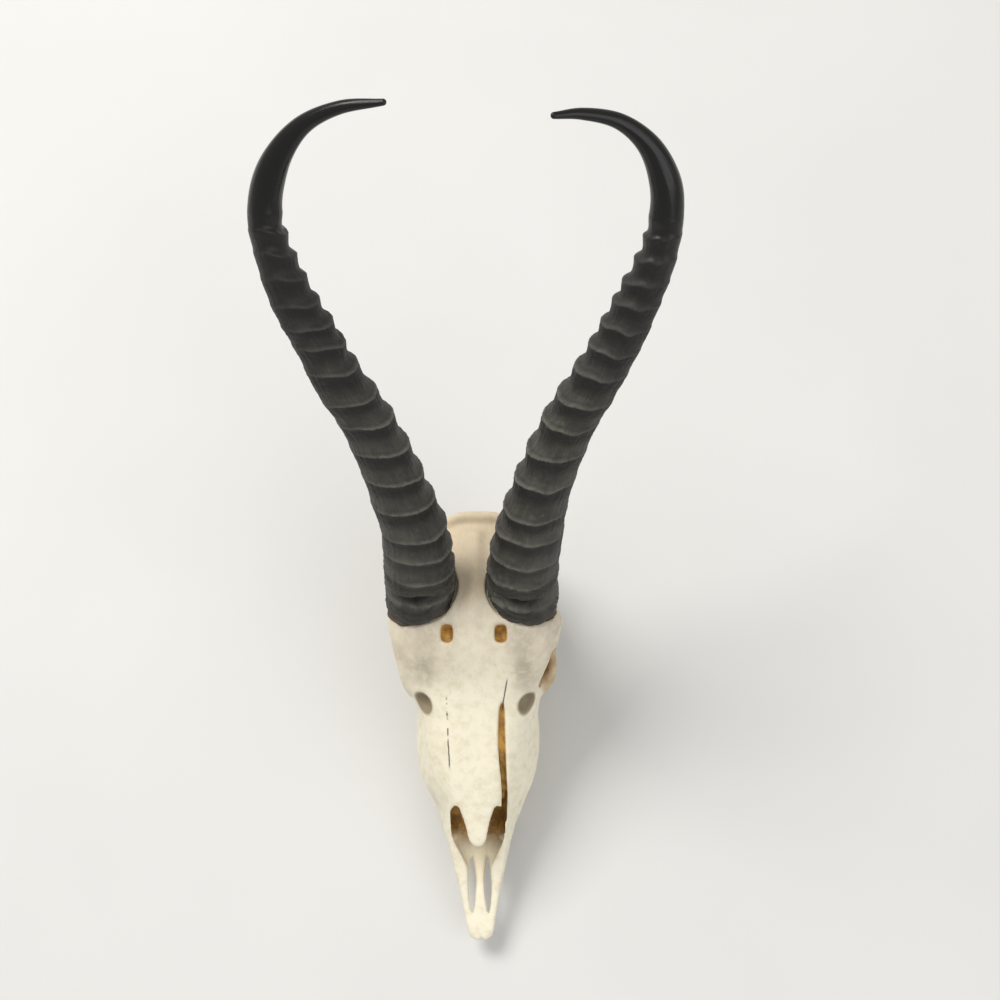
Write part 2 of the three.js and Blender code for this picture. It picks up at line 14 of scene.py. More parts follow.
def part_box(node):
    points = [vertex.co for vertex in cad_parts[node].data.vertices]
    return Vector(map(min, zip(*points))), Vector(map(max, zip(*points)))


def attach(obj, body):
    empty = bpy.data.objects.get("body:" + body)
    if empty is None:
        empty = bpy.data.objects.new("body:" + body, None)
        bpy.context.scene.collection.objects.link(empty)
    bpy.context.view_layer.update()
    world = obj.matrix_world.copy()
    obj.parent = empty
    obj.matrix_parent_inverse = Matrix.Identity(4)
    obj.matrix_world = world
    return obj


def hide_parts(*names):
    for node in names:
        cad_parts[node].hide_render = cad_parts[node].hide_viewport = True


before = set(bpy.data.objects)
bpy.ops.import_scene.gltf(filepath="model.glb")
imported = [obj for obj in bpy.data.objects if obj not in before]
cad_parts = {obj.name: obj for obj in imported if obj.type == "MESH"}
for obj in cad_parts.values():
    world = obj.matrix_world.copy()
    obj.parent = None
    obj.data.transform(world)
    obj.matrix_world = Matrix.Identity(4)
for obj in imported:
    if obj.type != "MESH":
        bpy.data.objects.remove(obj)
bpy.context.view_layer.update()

# Driving dimensions in millimetres

MM = 0.001
ALVEOLAR_Z = 12
ROOT_TOP_Z = 17
TIP_SWAY = 2
SWAY_LENGTH = 90
SWAY_POWER = 1.2
HORN_BASE_RADIUS = 17.2
HORN_SEAT_TILT = 0.27
HORN_SEAT_FADE = 16
HORN_ROOM = 0.7
SOCKET_ROOM = 0.35
SIDES = {"left": 1, "right": -1}

# Half outlines of the skull at stations from nose to occiput: distance back from the
# premaxilla's tip, then [x, z] from the upper midline round to the lower midline.

SKULL_STATIONS = [
    (0, [(0, 13.7), (1.2, 13.7), (2.1, 13.2), (2.3, 12.6), (2.1, 12), (1.2, 11.4), (0, 11.3)]),
    (1.4, [(0, 14.2), (2.6, 14.1), (4.3, 13.5), (4.8, 12.6), (4.4, 11.6), (2.6, 11), (0, 10.9)]),
    (4, [(0, 15.2), (3.7, 15), (5.6, 14.3), (6.2, 13), (5.7, 11.7), (3.3, 10.9), (0, 10.8)]),
    (8, [(0, 17), (4.6, 16.6), (6.6, 15.6), (7.1, 14), (6.6, 12.2), (4, 11), (0, 10.8)]),
    (20, [(0, 24), (6, 22.5), (8.5, 19.5), (9.3, 16.5), (8.6, 13.6), (5, 11.6), (0, 11.2)]),
    (36, [(0, 36), (8.4, 33), (12, 27), (13, 21), (12.4, 16), (7.4, 12.8), (0, 12.4)]),
    (50, [(0, 45), (9.4, 43), (14.2, 35), (16.2, 27), (15.8, 19.5), (10.6, 14.6), (0, 14)]),
    (62, [(0, 51), (10.5, 49.5), (15.8, 41), (18.4, 31), (18.6, 22), (14, 16), (0, 16)]),
    (75, [(0, 57.5), (13, 56.5), (19.8, 49), (24.6, 38), (26.2, 25), (20.5, 17), (0, 18)]),
    (90, [(0, 64.5), (14, 64), (21.4, 58.5), (27.4, 44), (30.4, 27), (25, 17), (0, 19)]),
    (104, [(0, 71.5), (15, 71), (23.6, 65), (28.8, 48), (30.8, 29), (26, 17), (0, 20)]),
    (116, [(0, 79), (18, 78), (32, 68), (31, 54), (29.5, 34), (26, 18), (0, 22)]),
    (128, [(0, 88), (20, 87), (37.6, 79), (37, 60), (34, 42), (25, 24), (0, 26)]),
    (140, [(0, 96), (22, 94), (40, 84), (40, 64), (38, 44), (20, 34), (0, 32)]),
    (149, [(0, 97.5), (24, 94), (41.5, 81), (38, 62), (31, 44), (16, 33), (0, 30)]),
    (160, [(0, 93.5), (22, 89), (33, 76), (33.5, 58), (29, 42), (14, 30), (0, 27)]),
    (172, [(0, 87), (20, 82), (30, 70), (31, 55), (27, 39), (13, 26), (0, 23)]),
    (186, [(0, 78.5), (17, 75), (27, 65), (28.5, 52), (25, 38), (13, 25), (0, 20)]),
    (197, [(0, 72.5), (15, 69), (22, 60), (24, 50), (21, 38), (12, 26), (0, 20)]),
    (203, [(0, 70), (13, 66), (18.5, 58), (20, 49), (18, 38), (10, 27), (0, 22)]),
]
NASAL_CAVITY_STATIONS = [
    (14, [(0, 20.6), (2, 20.4), (3.2, 20), (3.6, 19.5), (3.2, 19.1), (2, 19), (0, 19)]),
    (36, [(0, 33), (4.6, 31.5), (6.2, 27), (6.2, 22.5), (5.4, 18.4), (3.8, 16.8), (0, 16.8)]),
    (50, [(0, 42.5), (8.6, 40.9), (12.8, 34), (14.4, 27), (13.8, 20.6), (9.6, 18.4), (0, 18.4)]),
    (62, [(0, 48.6), (10.2, 47.4), (14.5, 40), (16.8, 31), (16.4, 23), (12, 20.4), (0, 20.4)]),
    (75, [(0, 55), (11, 54), (16.4, 47.4), (20, 38), (19.6, 27), (15, 23), (0, 23)]),
    (92, [(0, 62), (11, 61), (16, 54), (20, 43), (19.6, 31), (15, 26), (0, 26)]),
    (106, [(0, 62), (6, 60), (10, 54), (12, 45), (11, 37), (7, 32), (0, 32)]),
]

# The nasal bones in front of the face: distance back, top, half width.

NASAL_TIP_STATIONS = [
    (42.6, 40.3, 1.2), (43.6, 40.9, 2.9), (45.4, 42, 4.1), (48, 43.4, 4.9), (51.4, 45.2, 5.8),
    (55, 47, 6.9), (58.5, 48.9, 8.3), (61.5, 50.4, 9.4), (64, 51.6, 10.6), (70, 54.6, 12.8),
]
NASAL_THICKNESS = 2.2
NOSE_OPENING_EDGE = [
    (-8, 14.6), (6, 15.4), (16, 17.6), (30, 22.5), (42, 29.5), (53, 38), (60, 45.4), (63, 70),
]

# Ellipsoids: centre and half sizes, drawn on the left and mirrored where x isn't zero.

ORBIT = ((38.5, 135, 58.5), (25, 17.5, 17.5))
BEHIND_ORBIT = ((37, 154, 58), (13, 15, 17))
OCCIPITAL_CONDYLE = ((9.6, 203, 28), (7, 8, 9.5))
JAW_JOINT = ((27, 172, 39), (10, 8, 5))
EAR_BULLA = ((15.5, 169, 25), (7, 11, 9))
BROW_FORAMEN = ((13, 137.4, 94), (2.9, 3.9, 5.6))
LACRIMAL_PIT = ((26.4, 108, 67), (4.8, 5.4, 5))
PALATAL_SLIT = {"x": 4.0, "y": 27, "half_length": 16.5, "half_width": 1.9, "low": 4, "high": 24}
TIP_NOTCH = ((0, -1.2, 12.6), (0.8, 2.6, 5))
PALATE_VAULT = ((0, 88, 11), (13.5, 44, 8.5))
CHOANA = ((0, 138, 27), (7.5, 22, 9))
BRAIN_CAVITY = ((0, 172, 54), (23, 25, 20))
FORAMEN_MAGNUM = ((0, 198, 39), (9.5, 18, 8.5))

# Bars: points x, y, z and radius.

ZYGOMATIC_ARCH = [
    (25, 110, 42, 6), (28.6, 120, 41.5, 5), (36.4, 129, 41.5, 4), (36.8, 141, 42, 3.5),
    (37, 154, 42, 3.2), (33.5, 167, 40.5, 4), (21, 177, 41, 5),
]
POSTORBITAL_BAR = [
    (36, 146, 84, 5), (39.2, 149, 76, 4), (39.4, 152, 62, 3.2), (37.4, 151, 50, 3.4), (36.4, 149, 42, 3.6),
]
PAROCCIPITAL_PROCESS = [(22, 189, 46, 7), (22.6, 190, 26, 5), (22, 191.5, 9, 3.2), (22, 191.5, 2.6, 2.4)]
PTERYGOID_PLATE = [(12, 118, 27, 4), (9.5, 133, 27.5, 6), (8.6, 144, 28.5, 6), (9, 154, 32, 3.5)]
NUCHAL_CREST = [
    (-25, 189, 55, 2.5), (-20.5, 196, 63.5, 3), (-11, 202.6, 70, 3), (0, 203, 70.8, 3.2),
    (11, 202.6, 70, 3), (20.5, 196, 63.5, 3), (25, 189, 55, 2.5),
]
MIDLINE_RIDGE = [(0, 146, 96.2, 1.5), (0, 160, 92.6, 1.7), (0, 176, 84.4, 1.7), (0, 192, 75.2, 1.4)]
TEMPORAL_LINE = [(30, 166, 84, 1.4), (26.5, 174, 80, 1.2), (22.5, 184, 74.5, 1.1), (19, 194, 66, 1.2)]
NASAL_FISSURE = [
    (13.6, 57, 42, 4.2), (13.9, 66, 48.2, 4.0), (13.6, 76, 55.6, 4.6), (13.1, 88, 62.5, 6.2),
    (13.0, 96, 66.5, 6.0), (13.2, 103, 70.3, 4.6), (13.3, 106.5, 72, 2.4),
]
TURBINATE = [(12.6, 68, 41, 2.0), (12.8, 78, 48.6, 3.0), (12.4, 90, 56.4, 3.6), (12.4, 106, 65.5, 3.2)]
BROW_EDGE_CUT = [
    (36.5, 111, 61, 7), (36.9, 116, 68, 7), (39.5, 122, 75, 7), (42.6, 128, 80, 7),
    (46.4, 137, 84, 7), (50, 147, 86, 7),
]
ORBIT_LIPS = {
    "right": [
        (-41.2, 146, 80.5, 1.3), (-38.4, 134, 80.6, 1.3), (-36.6, 124, 75.5, 1.3),
        (-34.8, 117.5, 68, 1.3), (-32, 114, 60, 1.2),
    ],
    "left": [
        (41.4, 147, 81, 1.4), (38.6, 138, 82, 1.4), (35.4, 128.5, 79, 1.4), (32.4, 122.5, 74.5, 1.4),
        (29.8, 117.5, 68, 1.4), (29.4, 114.5, 61, 1.3),
    ],
}
BROW_GROOVE = [(13, 134, 93.5, 1.6), (12.6, 128, 90.4, 1.0), (12.2, 122, 86, 0.5)]
CHEEK_FORAMEN = ((21.6, 68, 28), (1.8, 2.6, 1.8))
TOOTH_RIDGE_RADII = (4.4, 6.9, 6.9, 6.9, 6.9)
TOOTH_RIDGE_RISE = 7
TOOTH_RIDGE_FRONT = (12.4, 50, 26, 2.4)
TOOTH_RIDGE_BACK = (20.6, 137, 31, 3)

# Cheek teeth of one side, front to back: name, length along the row, width, lobes.

CHEEK_TEETH = [
    ("premolar_2", 6.6, 5.6, 1), ("premolar_3", 7.6, 6.6, 1), ("premolar_4", 7.6, 7.8, 1),
    ("molar_1", 11.2, 9.4, 2), ("molar_2", 12.6, 10, 2), ("molar_3", 13.4, 9.6, 2),
]
TOOTH_ROW = [(14.6, 60), (17.6, 73), (20.4, 88), (22.2, 104), (22.4, 118), (21.6, 130)]

# Axis of each horn from its seat to its tip.

HORN_AXES = {
    "right": [
        (-26, 158, 86.5), (-26, 168, 106), (-27, 180, 127), (-31, 188.5, 144), (-37, 200, 168),
        (-44.5, 211, 191), (-54.5, 221, 214.5), (-62, 231, 235), (-70, 241.5, 254.5),
        (-75.3, 252, 272), (-78.3, 262.5, 288), (-77, 270.5, 298), (-71, 279.5, 310.5),
        (-60, 287, 322), (-44.5, 289.5, 331.5), (-26.3, 287.6, 339),
    ],
    "left": [
        (23, 158, 86.5), (23.6, 168, 104.5), (26.5, 178, 122.5), (31, 189, 143), (38, 201, 166.5),
        (46, 211.5, 188), (56, 221, 208.5), (66.7, 232.6, 230.6), (74.6, 243.2, 249),
        (81.5, 253.8, 266), (85.7, 265, 282), (85.3, 274.2, 294), (78.5, 284, 308),
        (66.5, 289.2, 319), (51, 288, 328), (40.1, 284.7, 332.8),
    ],
}
HORN_TAPER = [
    (0, 1), (0.1, 0.97), (0.2, 0.83), (0.3, 0.75), (0.4, 0.69), (0.5, 0.635), (0.6, 0.575),
    (0.68, 0.49), (0.74, 0.42), (0.8, 0.38), (0.84, 0.31), (0.88, 0.235), (0.92, 0.18),
    (0.96, 0.14), (1, 0.08),
]
HORN_BASE_DEPTH = 1.2
HORN_ROUND_FROM = 0.62
HORN_FRONT = (0, -1, 0.35)
RIDGES = {
    "right": [9.5, 22.5, 34.5, 46, 63, 81, 98.5, 117, 132.5, 151.5, 166, 177, 189.5, 203, 214.5, 226.5, 237],
    "left": [8, 20, 31, 45, 58, 77, 96, 115, 131, 148, 162, 175, 188, 199.5, 211, 222.5, 233],
}
RIDGE_DEPTH = 2.3
RIDGE_FLOOR = 0.3
RIDGE_OUTER_SHARE = 0.15
RIDGE_SLANT = 0.32
RIDGE_SLANT_FROM = 0.25
FRONT_RISE = {"right": 6.0, "left": 5.0}
FRONT_NOTCH = {"right": 0.0, "left": 2.0}
CLEFTS = {"right": 12.7, "left": 10.8}
RIDGE_FADE = [(0, 0.5), (0.15, 0.9), (0.45, 1), (0.62, 0.95), (0.72, 0.7), (0.77, 0), (1, 0)]

# From the skull's measuring frame to the frame of the solids: the premaxilla's tip is the
# cranium's foremost point, and the midline lies between the two rows of teeth.


def middle(node):
    low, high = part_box(node)
    return (low + high) / 2


MIDLINE_X = (middle("molar_2_left").x + middle("molar_2_right").x) / 2
NOSE_TIP_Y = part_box("cranium")[0].y
TO_FRAME = np.array([MIDLINE_X, NOSE_TIP_Y, 0.0])


def to_frame(points):
    return np.asarray(points, float) * MM + TO_FRAME


# Curves and tables


def catmull_rom(points, count, closed=False):
    """Centripetal spline through points, sampled evenly in its own parameter."""
    points = np.asarray(points, float)
    n = len(points)
    if closed:
        padded = np.concatenate([points[-1:], points, points[:2]])
        t = np.arange(count) * n / count
    else:
        padded = np.concatenate([2 * points[:1] - points[1:2], points, 2 * points[-1:] - points[-2:-1]])
        t = np.linspace(0, n - 1, count)
    i = np.minimum(t.astype(int), n - 1 if closed else n - 2)
    f = (t - i)[:, None]
    p0, p1, p2, p3 = (padded[i + k] for k in range(4))
    d0, d1, d2 = (
        np.maximum(np.linalg.norm(b - a, axis=1, keepdims=True) ** 0.5, 1e-4)
        for a, b in ((p0, p1), (p1, p2), (p2, p3))
    )
    m1 = ((p1 - p0) / d0 - (p2 - p0) / (d0 + d1) + (p2 - p1) / d1) * d1
    m2 = ((p2 - p1) / d1 - (p3 - p1) / (d1 + d2) + (p3 - p2) / d2) * d1
    return (
        (2 * f**3 - 3 * f**2 + 1) * p1
        + (f**3 - 2 * f**2 + f) * m1
        + (-2 * f**3 + 3 * f**2) * p2
        + (f**3 - f**2) * m2
    )


def along_table(table, at):
    """Values of a table of (position, value) at positions, joined by smooth cubics."""
    xs = np.array([row[0] for row in table], float)
    ys = np.array([row[1] for row in table], float)
    slopes = np.gradient(ys, xs) if len(xs) > 2 else np.full(2, (ys[1] - ys[0]) / (xs[1] - xs[0]))
    at = np.clip(np.asarray(at, float), xs[0], xs[-1])
    i = np.clip(np.searchsorted(xs, at, side="right") - 1, 0, len(xs) - 2)
    h = xs[i + 1] - xs[i]
    f = (at - xs[i]) / h
    return (
        (2 * f**3 - 3 * f**2 + 1) * ys[i]
        + (f**3 - 2 * f**2 + f) * h * slopes[i]
        + (-2 * f**3 + 3 * f**2) * ys[i + 1]
        + (f**3 - f**2) * h * slopes[i + 1]
    )


def smoothstep(low, high, value):
    t = np.clip((value - low) / (high - low), 0, 1)
    return t * t * (3 - 2 * t)


def value_noise(points, size, seed):
    """Smooth seeded noise from -1 to 1 at points, with lumps about size across."""
    table = np.random.default_rng(seed).uniform(-1, 1, 4096)
    scaled = np.asarray(points, float) / size
    cell = np.floor(scaled).astype(np.int64)
    f = scaled - cell
    f = f * f * f * (f * (f * 6 - 15) + 10)
    total = np.zeros(len(scaled))
    for corner in np.ndindex(2, 2, 2):
        x, y, z = (cell + corner).T
        key = (x * 73856093) ^ (y * 19349663) ^ (z * 83492791)
        weight = np.prod(np.where(np.array(corner) == 1, f, 1 - f), axis=1)
        total += weight * table[key & 4095]
    return total


# The distance field of the bone


VOXEL = 0.8
FIELD_LOW = np.array([-47.0, -4.0, -2.4])
FIELD_HIGH = np.array([47.0, 216.0, 104.0])
FAR = 12.0
AXES = [np.arange(low, high, VOXEL) for low, high in zip(FIELD_LOW, FIELD_HIGH)]


def sub_box(low, high):
    """Slices of the field that cover a box, and its coordinates ready to broadcast."""
    slices, coordinates = [], []
    for k, axis in enumerate(AXES):
        start, stop = np.searchsorted(axis, [low[k], high[k]])
        slices.append(slice(max(start - 1, 0), min(stop + 1, len(axis))))
        shape = [1, 1, 1]
        shape[k] = -1
        coordinates.append(axis[slices[-1]].reshape(shape))
    return tuple(slices), coordinates


def smooth_min(a, b, k):
    h = np.maximum(k - np.abs(a - b), 0) / k
    return np.minimum(a, b) - h * h * k / 4


def smooth_max(a, b, k):
    return -smooth_min(-a, -b, k)


def add(field, slices, shape, k):
    field[slices] = smooth_min(field[slices], shape, k)


def cut(field, slices, shape, k):
    field[slices] = smooth_max(field[slices], -shape, k)


def ellipsoid(centre, radii, pitch=0.0, margin=5.0):
    """Slices and distances of an ellipsoid, turned by pitch about X."""
    centre = np.array(centre, float)
    radii = np.array(radii, float)
    reach = radii.copy()
    if pitch:
        reach[1:] = max(radii[1:])
    slices, (x, y, z) = sub_box(centre - reach - margin, centre + reach + margin)
    x, y, z = x - centre[0], y - centre[1], z - centre[2]
    if pitch:
        c, s = math.cos(pitch), math.sin(pitch)
        y, z = c * y + s * z, c * z - s * y
    k0 = np.sqrt((x / radii[0]) ** 2 + (y / radii[1]) ** 2 + (z / radii[2]) ** 2)
    k1 = np.sqrt((x / radii[0] ** 2) ** 2 + (y / radii[1] ** 2) ** 2 + (z / radii[2] ** 2) ** 2)
    return slices, k0 * (k0 - 1) / np.maximum(k1, 1e-3)


def rounded_box(centre, radii, margin=5.0):
    """Slices and distances of a box with well rounded corners."""
    centre, radii = np.array(centre, float), np.array(radii, float)
    slices, grid = sub_box(centre - radii - margin, centre + radii + margin)
    power = sum((np.abs(g - c) / r) ** 4 for g, c, r in zip(grid, centre, radii))
    return slices, (power**0.25 - 1) * radii.min()


def palatal_slit(side):
    """Slices and distances of a slit through the nose floor, pointed at both ends."""
    slit = PALATAL_SLIT
    reach = slit["half_length"] + 4
    middle_x = side * slit["x"]
    low = (middle_x - 7, slit["y"] - reach, slit["low"])
    high = (middle_x + 7, slit["y"] + reach, slit["high"])
    slices, (x, y, z) = sub_box(low, high)
    share = np.abs(y - slit["y"]) / slit["half_length"]
    across = np.abs(x - middle_x) - slit["half_width"] * (1 - share**1.7)
    return slices, across + 0 * z


def mirrored(points, side):
    return [(side * p[0], *p[1:]) for p in points]


def bar(path, flat=1.0, squash=(1, 0, 0), margin=5.0, pieces=24):
    """Slices and distances of a bar along x, y, z, radius, flattened in one direction."""
    path = catmull_rom(path, pieces)
    centre, radius = path[:, :3], path[:, 3]
    reach = radius.max() + margin
    slices, (x, y, z) = sub_box(centre.min(0) - reach, centre.max(0) + reach)
    squash = np.array(squash, float)
    field = np.full(np.broadcast_shapes(x.shape, y.shape, z.shape), FAR)
    for a, b, ra, rb in zip(centre[:-1], centre[1:], radius[:-1], radius[1:]):
        d = b - a
        t = ((x - a[0]) * d[0] + (y - a[1]) * d[1] + (z - a[2]) * d[2]) / max(d @ d, 1e-6)
        t = np.clip(t, 0, 1)
        q = [c - a[k] - t * d[k] for k, c in enumerate((x, y, z))]
        along = sum(q[k] * squash[k] for k in range(3)) * (1 / flat - 1)
        q = [q[k] + along * squash[k] for k in range(3)]
        field = np.minimum(field, np.sqrt(q[0] ** 2 + q[1] ** 2 + q[2] ** 2) - (ra + t * (rb - ra)))
    return slices, field


def polygon_distance(x, z, outline):
    """Signed distance in a plane from grid points to a closed outline, less than zero inside."""
    a = outline
    b = np.roll(outline, -1, axis=0)
    px, pz = x[:, None, None], z[None, :, None]
    dx, dz = b[:, 0] - a[:, 0], b[:, 1] - a[:, 1]
    wx, wz = px - a[:, 0], pz - a[:, 1]
    t = np.clip((wx * dx + wz * dz) / np.maximum(dx * dx + dz * dz, 1e-9), 0, 1)
    distance = np.sqrt(((wx - t * dx) ** 2 + (wz - t * dz) ** 2).min(axis=2))
    crosses = (a[:, 1] > pz) != (b[:, 1] > pz)
    slope = np.where(np.abs(dz) < 1e-9, 1e-9, dz)
    left = px < a[:, 0] + (pz - a[:, 1]) * dx / slope
    inside = (crosses & left).sum(axis=2) % 2 == 1
    return np.where(inside, -distance, distance)


def section_outlines(stations, ys, count=64):
    """Closed outlines at distances ys back, from half outlines at stations."""
    depth = np.array([y for y, _ in stations], float)
    rails = np.array([half for _, half in stations], float)
    columns = [
        [along_table(list(zip(depth, rails[:, k, c])), ys) for c in range(2)]
        for k in range(rails.shape[1])
    ]
    half = np.array(columns).transpose(2, 0, 1)
    mirror = half[:, -2:0:-1] * (-1, 1)
    return [catmull_rom(np.concatenate([h, m]), count, closed=True) for h, m in zip(half, mirror)]


def loft(stations):
    """Slices and distances of the solid skinned through the stations."""
    first, last = stations[0][0], stations[-1][0]
    points = np.array([half for _, half in stations]).reshape(-1, 2)
    reach = np.array([points[:, 0].max() + 5, 0, 0])
    low = -reach + (0, first - 5, points[:, 1].min() - 5)
    high = reach + (0, last + 5, points[:, 1].max() + 5)
    slices, (x, y, z) = sub_box(low, high)
    xs, ys, zs = x.ravel(), y.ravel(), z.ravel()
    outlines = section_outlines(stations, np.clip(ys, first, last))
    field = np.empty((len(xs), len(ys), len(zs)))
    for j, outline in enumerate(outlines):
        across = polygon_distance(xs, zs, outline)
        beyond = max(first - ys[j], ys[j] - last)
        field[:, j, :] = np.maximum(across, beyond) if beyond > -1.5 else across
    return slices, field


def nasal_tip_stations():
    rows = []
    for y, top, half_width in NASAL_TIP_STATIONS:
        arch = min(1.2, 0.12 * half_width)
        low = top - NASAL_THICKNESS
        rows.append((y, [
            (0, top), (0.5 * half_width, top - 0.25 * arch), (0.92 * half_width, top - 0.8 * arch),
            (half_width, top - arch - 0.5 * NASAL_THICKNESS), (0.92 * half_width, low - 0.8 * arch),
            (0.5 * half_width, low - 0.25 * arch), (0, low),
        ]))
    return rows


def nose_opening():
    """All in front of and above the edge of the nose opening, seen from the side."""
    slices, (x, y, z) = sub_box((-30, -8, 10), (30, 67, 80))
    ys, zs = y.ravel(), z.ravel()
    edge = catmull_rom(NOSE_OPENING_EDGE, 40)
    outline = np.concatenate([edge, [(63, 90), (-12, 90), (-12, 14.6)]])
    across = polygon_distance(ys, zs, outline)
    return slices, np.broadcast_to(across[None], (x.size, len(ys), len(zs)))


def tooth_ridge(side):
    row = catmull_rom(TOOTH_ROW, len(TOOTH_RIDGE_RADII))
    middle_z = ALVEOLAR_Z + TOOTH_RIDGE_RISE
    along = [(x, y, middle_z, radius) for (x, y), radius in zip(row, TOOTH_RIDGE_RADII)]
    return bar(mirrored([TOOTH_RIDGE_FRONT, *along, TOOTH_RIDGE_BACK], side), pieces=30)


# Horns: their axes, and sections at distances up them


class HornAxis:
    """The middle line of a horn, by distance from its seat, with the way its front faces."""

    def __init__(self, name):
        self.name = name
        self.side = SIDES[name]
        self.ridges = RIDGES[name]
        self.ringed_length = self.ridges[-1]
        self.points = catmull_rom(HORN_AXES[name], 1600)
        steps = np.linalg.norm(np.diff(self.points, axis=0), axis=1)
        self.distance = np.concatenate([[0], np.cumsum(steps)])
        self.length = self.distance[-1]

    def place(self, s):
        """Points of the middle line at distances s."""
        return np.stack([np.interp(s, self.distance, c) for c in self.points.T], axis=-1)

    def at(self, s):
        """Centre, direction, outward and forward unit vectors at distances s."""
        inside = np.clip(s, 0, self.length)
        centre = self.place(inside)
        ahead = self.place(np.minimum(inside + 1, self.length))
        behind = self.place(np.maximum(inside - 1, 0))
        along = unit(ahead - behind)
        front = np.array(HORN_FRONT, float)
        forward = unit(front - (along @ front)[..., None] * along)
        outward = np.cross(along, forward) * self.side
        centre = centre + along * (s - inside)[..., None]
        return centre, along, outward, forward

    def half_sizes(self, s):
        """Half width and half depth of the horn before its relief."""
        share = np.clip(s / self.length, 0, 1)
        width = HORN_BASE_RADIUS * along_table(HORN_TAPER, share)
        roundness = np.minimum(share / HORN_ROUND_FROM, 1)
        return width, width * (HORN_BASE_DEPTH + (1 - HORN_BASE_DEPTH) * roundness)


def unit(v):
    return v / np.linalg.norm(v, axis=-1, keepdims=True)


HORNS = {name: HornAxis(name) for name in SIDES}


def horn_seat(horn, room, low, high):
    """Slices, distances and height above the seat of the room round a horn's lower end."""
    centre, along, outward, forward = (v[0] for v in horn.at(np.zeros(1)))
    half_width, half_depth = (float(v[0]) + room for v in horn.half_sizes(np.zeros(1)))
    reach = 34
    slices, grid = sub_box(centre - reach, centre + reach)
    offset = [g - c for g, c in zip(grid, centre)]
    up, out, fore = (sum(o * float(v) for o, v in zip(offset, axis)) for axis in (along, outward, forward))
    round_share = np.sqrt((out / half_width) ** 2 + (fore / half_depth) ** 2)
    walls = (round_share - 1) * half_width
    height = up + HORN_SEAT_TILT * out
    return slices, np.maximum(walls, np.maximum(low - height, height - high))


# The bone: everything joined, cut and joined again, in the order in which it nests


def sway_at(y):
    """How far the nose is bent to the animal's left at distances y back."""
    return TIP_SWAY * np.maximum(0, 1 - y / SWAY_LENGTH) ** SWAY_POWER


def swayed(points):
    moved = points.copy()
    moved[:, 0] += sway_at(points[:, 1])
    return moved


TOOTH_PLACES = {}
for side_name in SIDES:
    for tooth_name, *_ in CHEEK_TEETH:
        centre = (np.array(middle(f"{tooth_name}_{side_name}")) - TO_FRAME) / MM
        TOOTH_PLACES[tooth_name, side_name] = (centre[0] - sway_at(centre[1]), centre[1])


def row_turn(y, side):
    """How far a tooth at distance y back is turned about Z to follow its row."""
    row = catmull_rom(TOOTH_ROW, 200)
    slope = np.interp(y, row[:, 1], np.gradient(row[:, 0], row[:, 1]))
    return -side * math.atan(slope)


def tooth_socket(name, length, width, side_name):
    x0, y0 = TOOTH_PLACES[name, side_name]
    turn = row_turn(y0, SIDES[side_name])
    reach = 0.5 * length + 4
    slices, (x, y, z) = sub_box((x0 - reach, y0 - reach, 0), (x0 + reach, y0 + reach, ROOT_TOP_Z + 3))
    c, s = math.cos(turn), math.sin(turn)
    across, along = c * (x - x0) + s * (y - y0), c * (y - y0) - s * (x - x0)
    half_width, half_length = 0.5 * width, 0.5 * length
    room = SOCKET_ROOM
    power = (np.abs(across) / (half_width + room)) ** 4 + (np.abs(along) / (half_length + room)) ** 4
    walls = (power**0.25 - 1) * half_width
    return slices, np.maximum(walls, z - ROOT_TOP_Z - room)


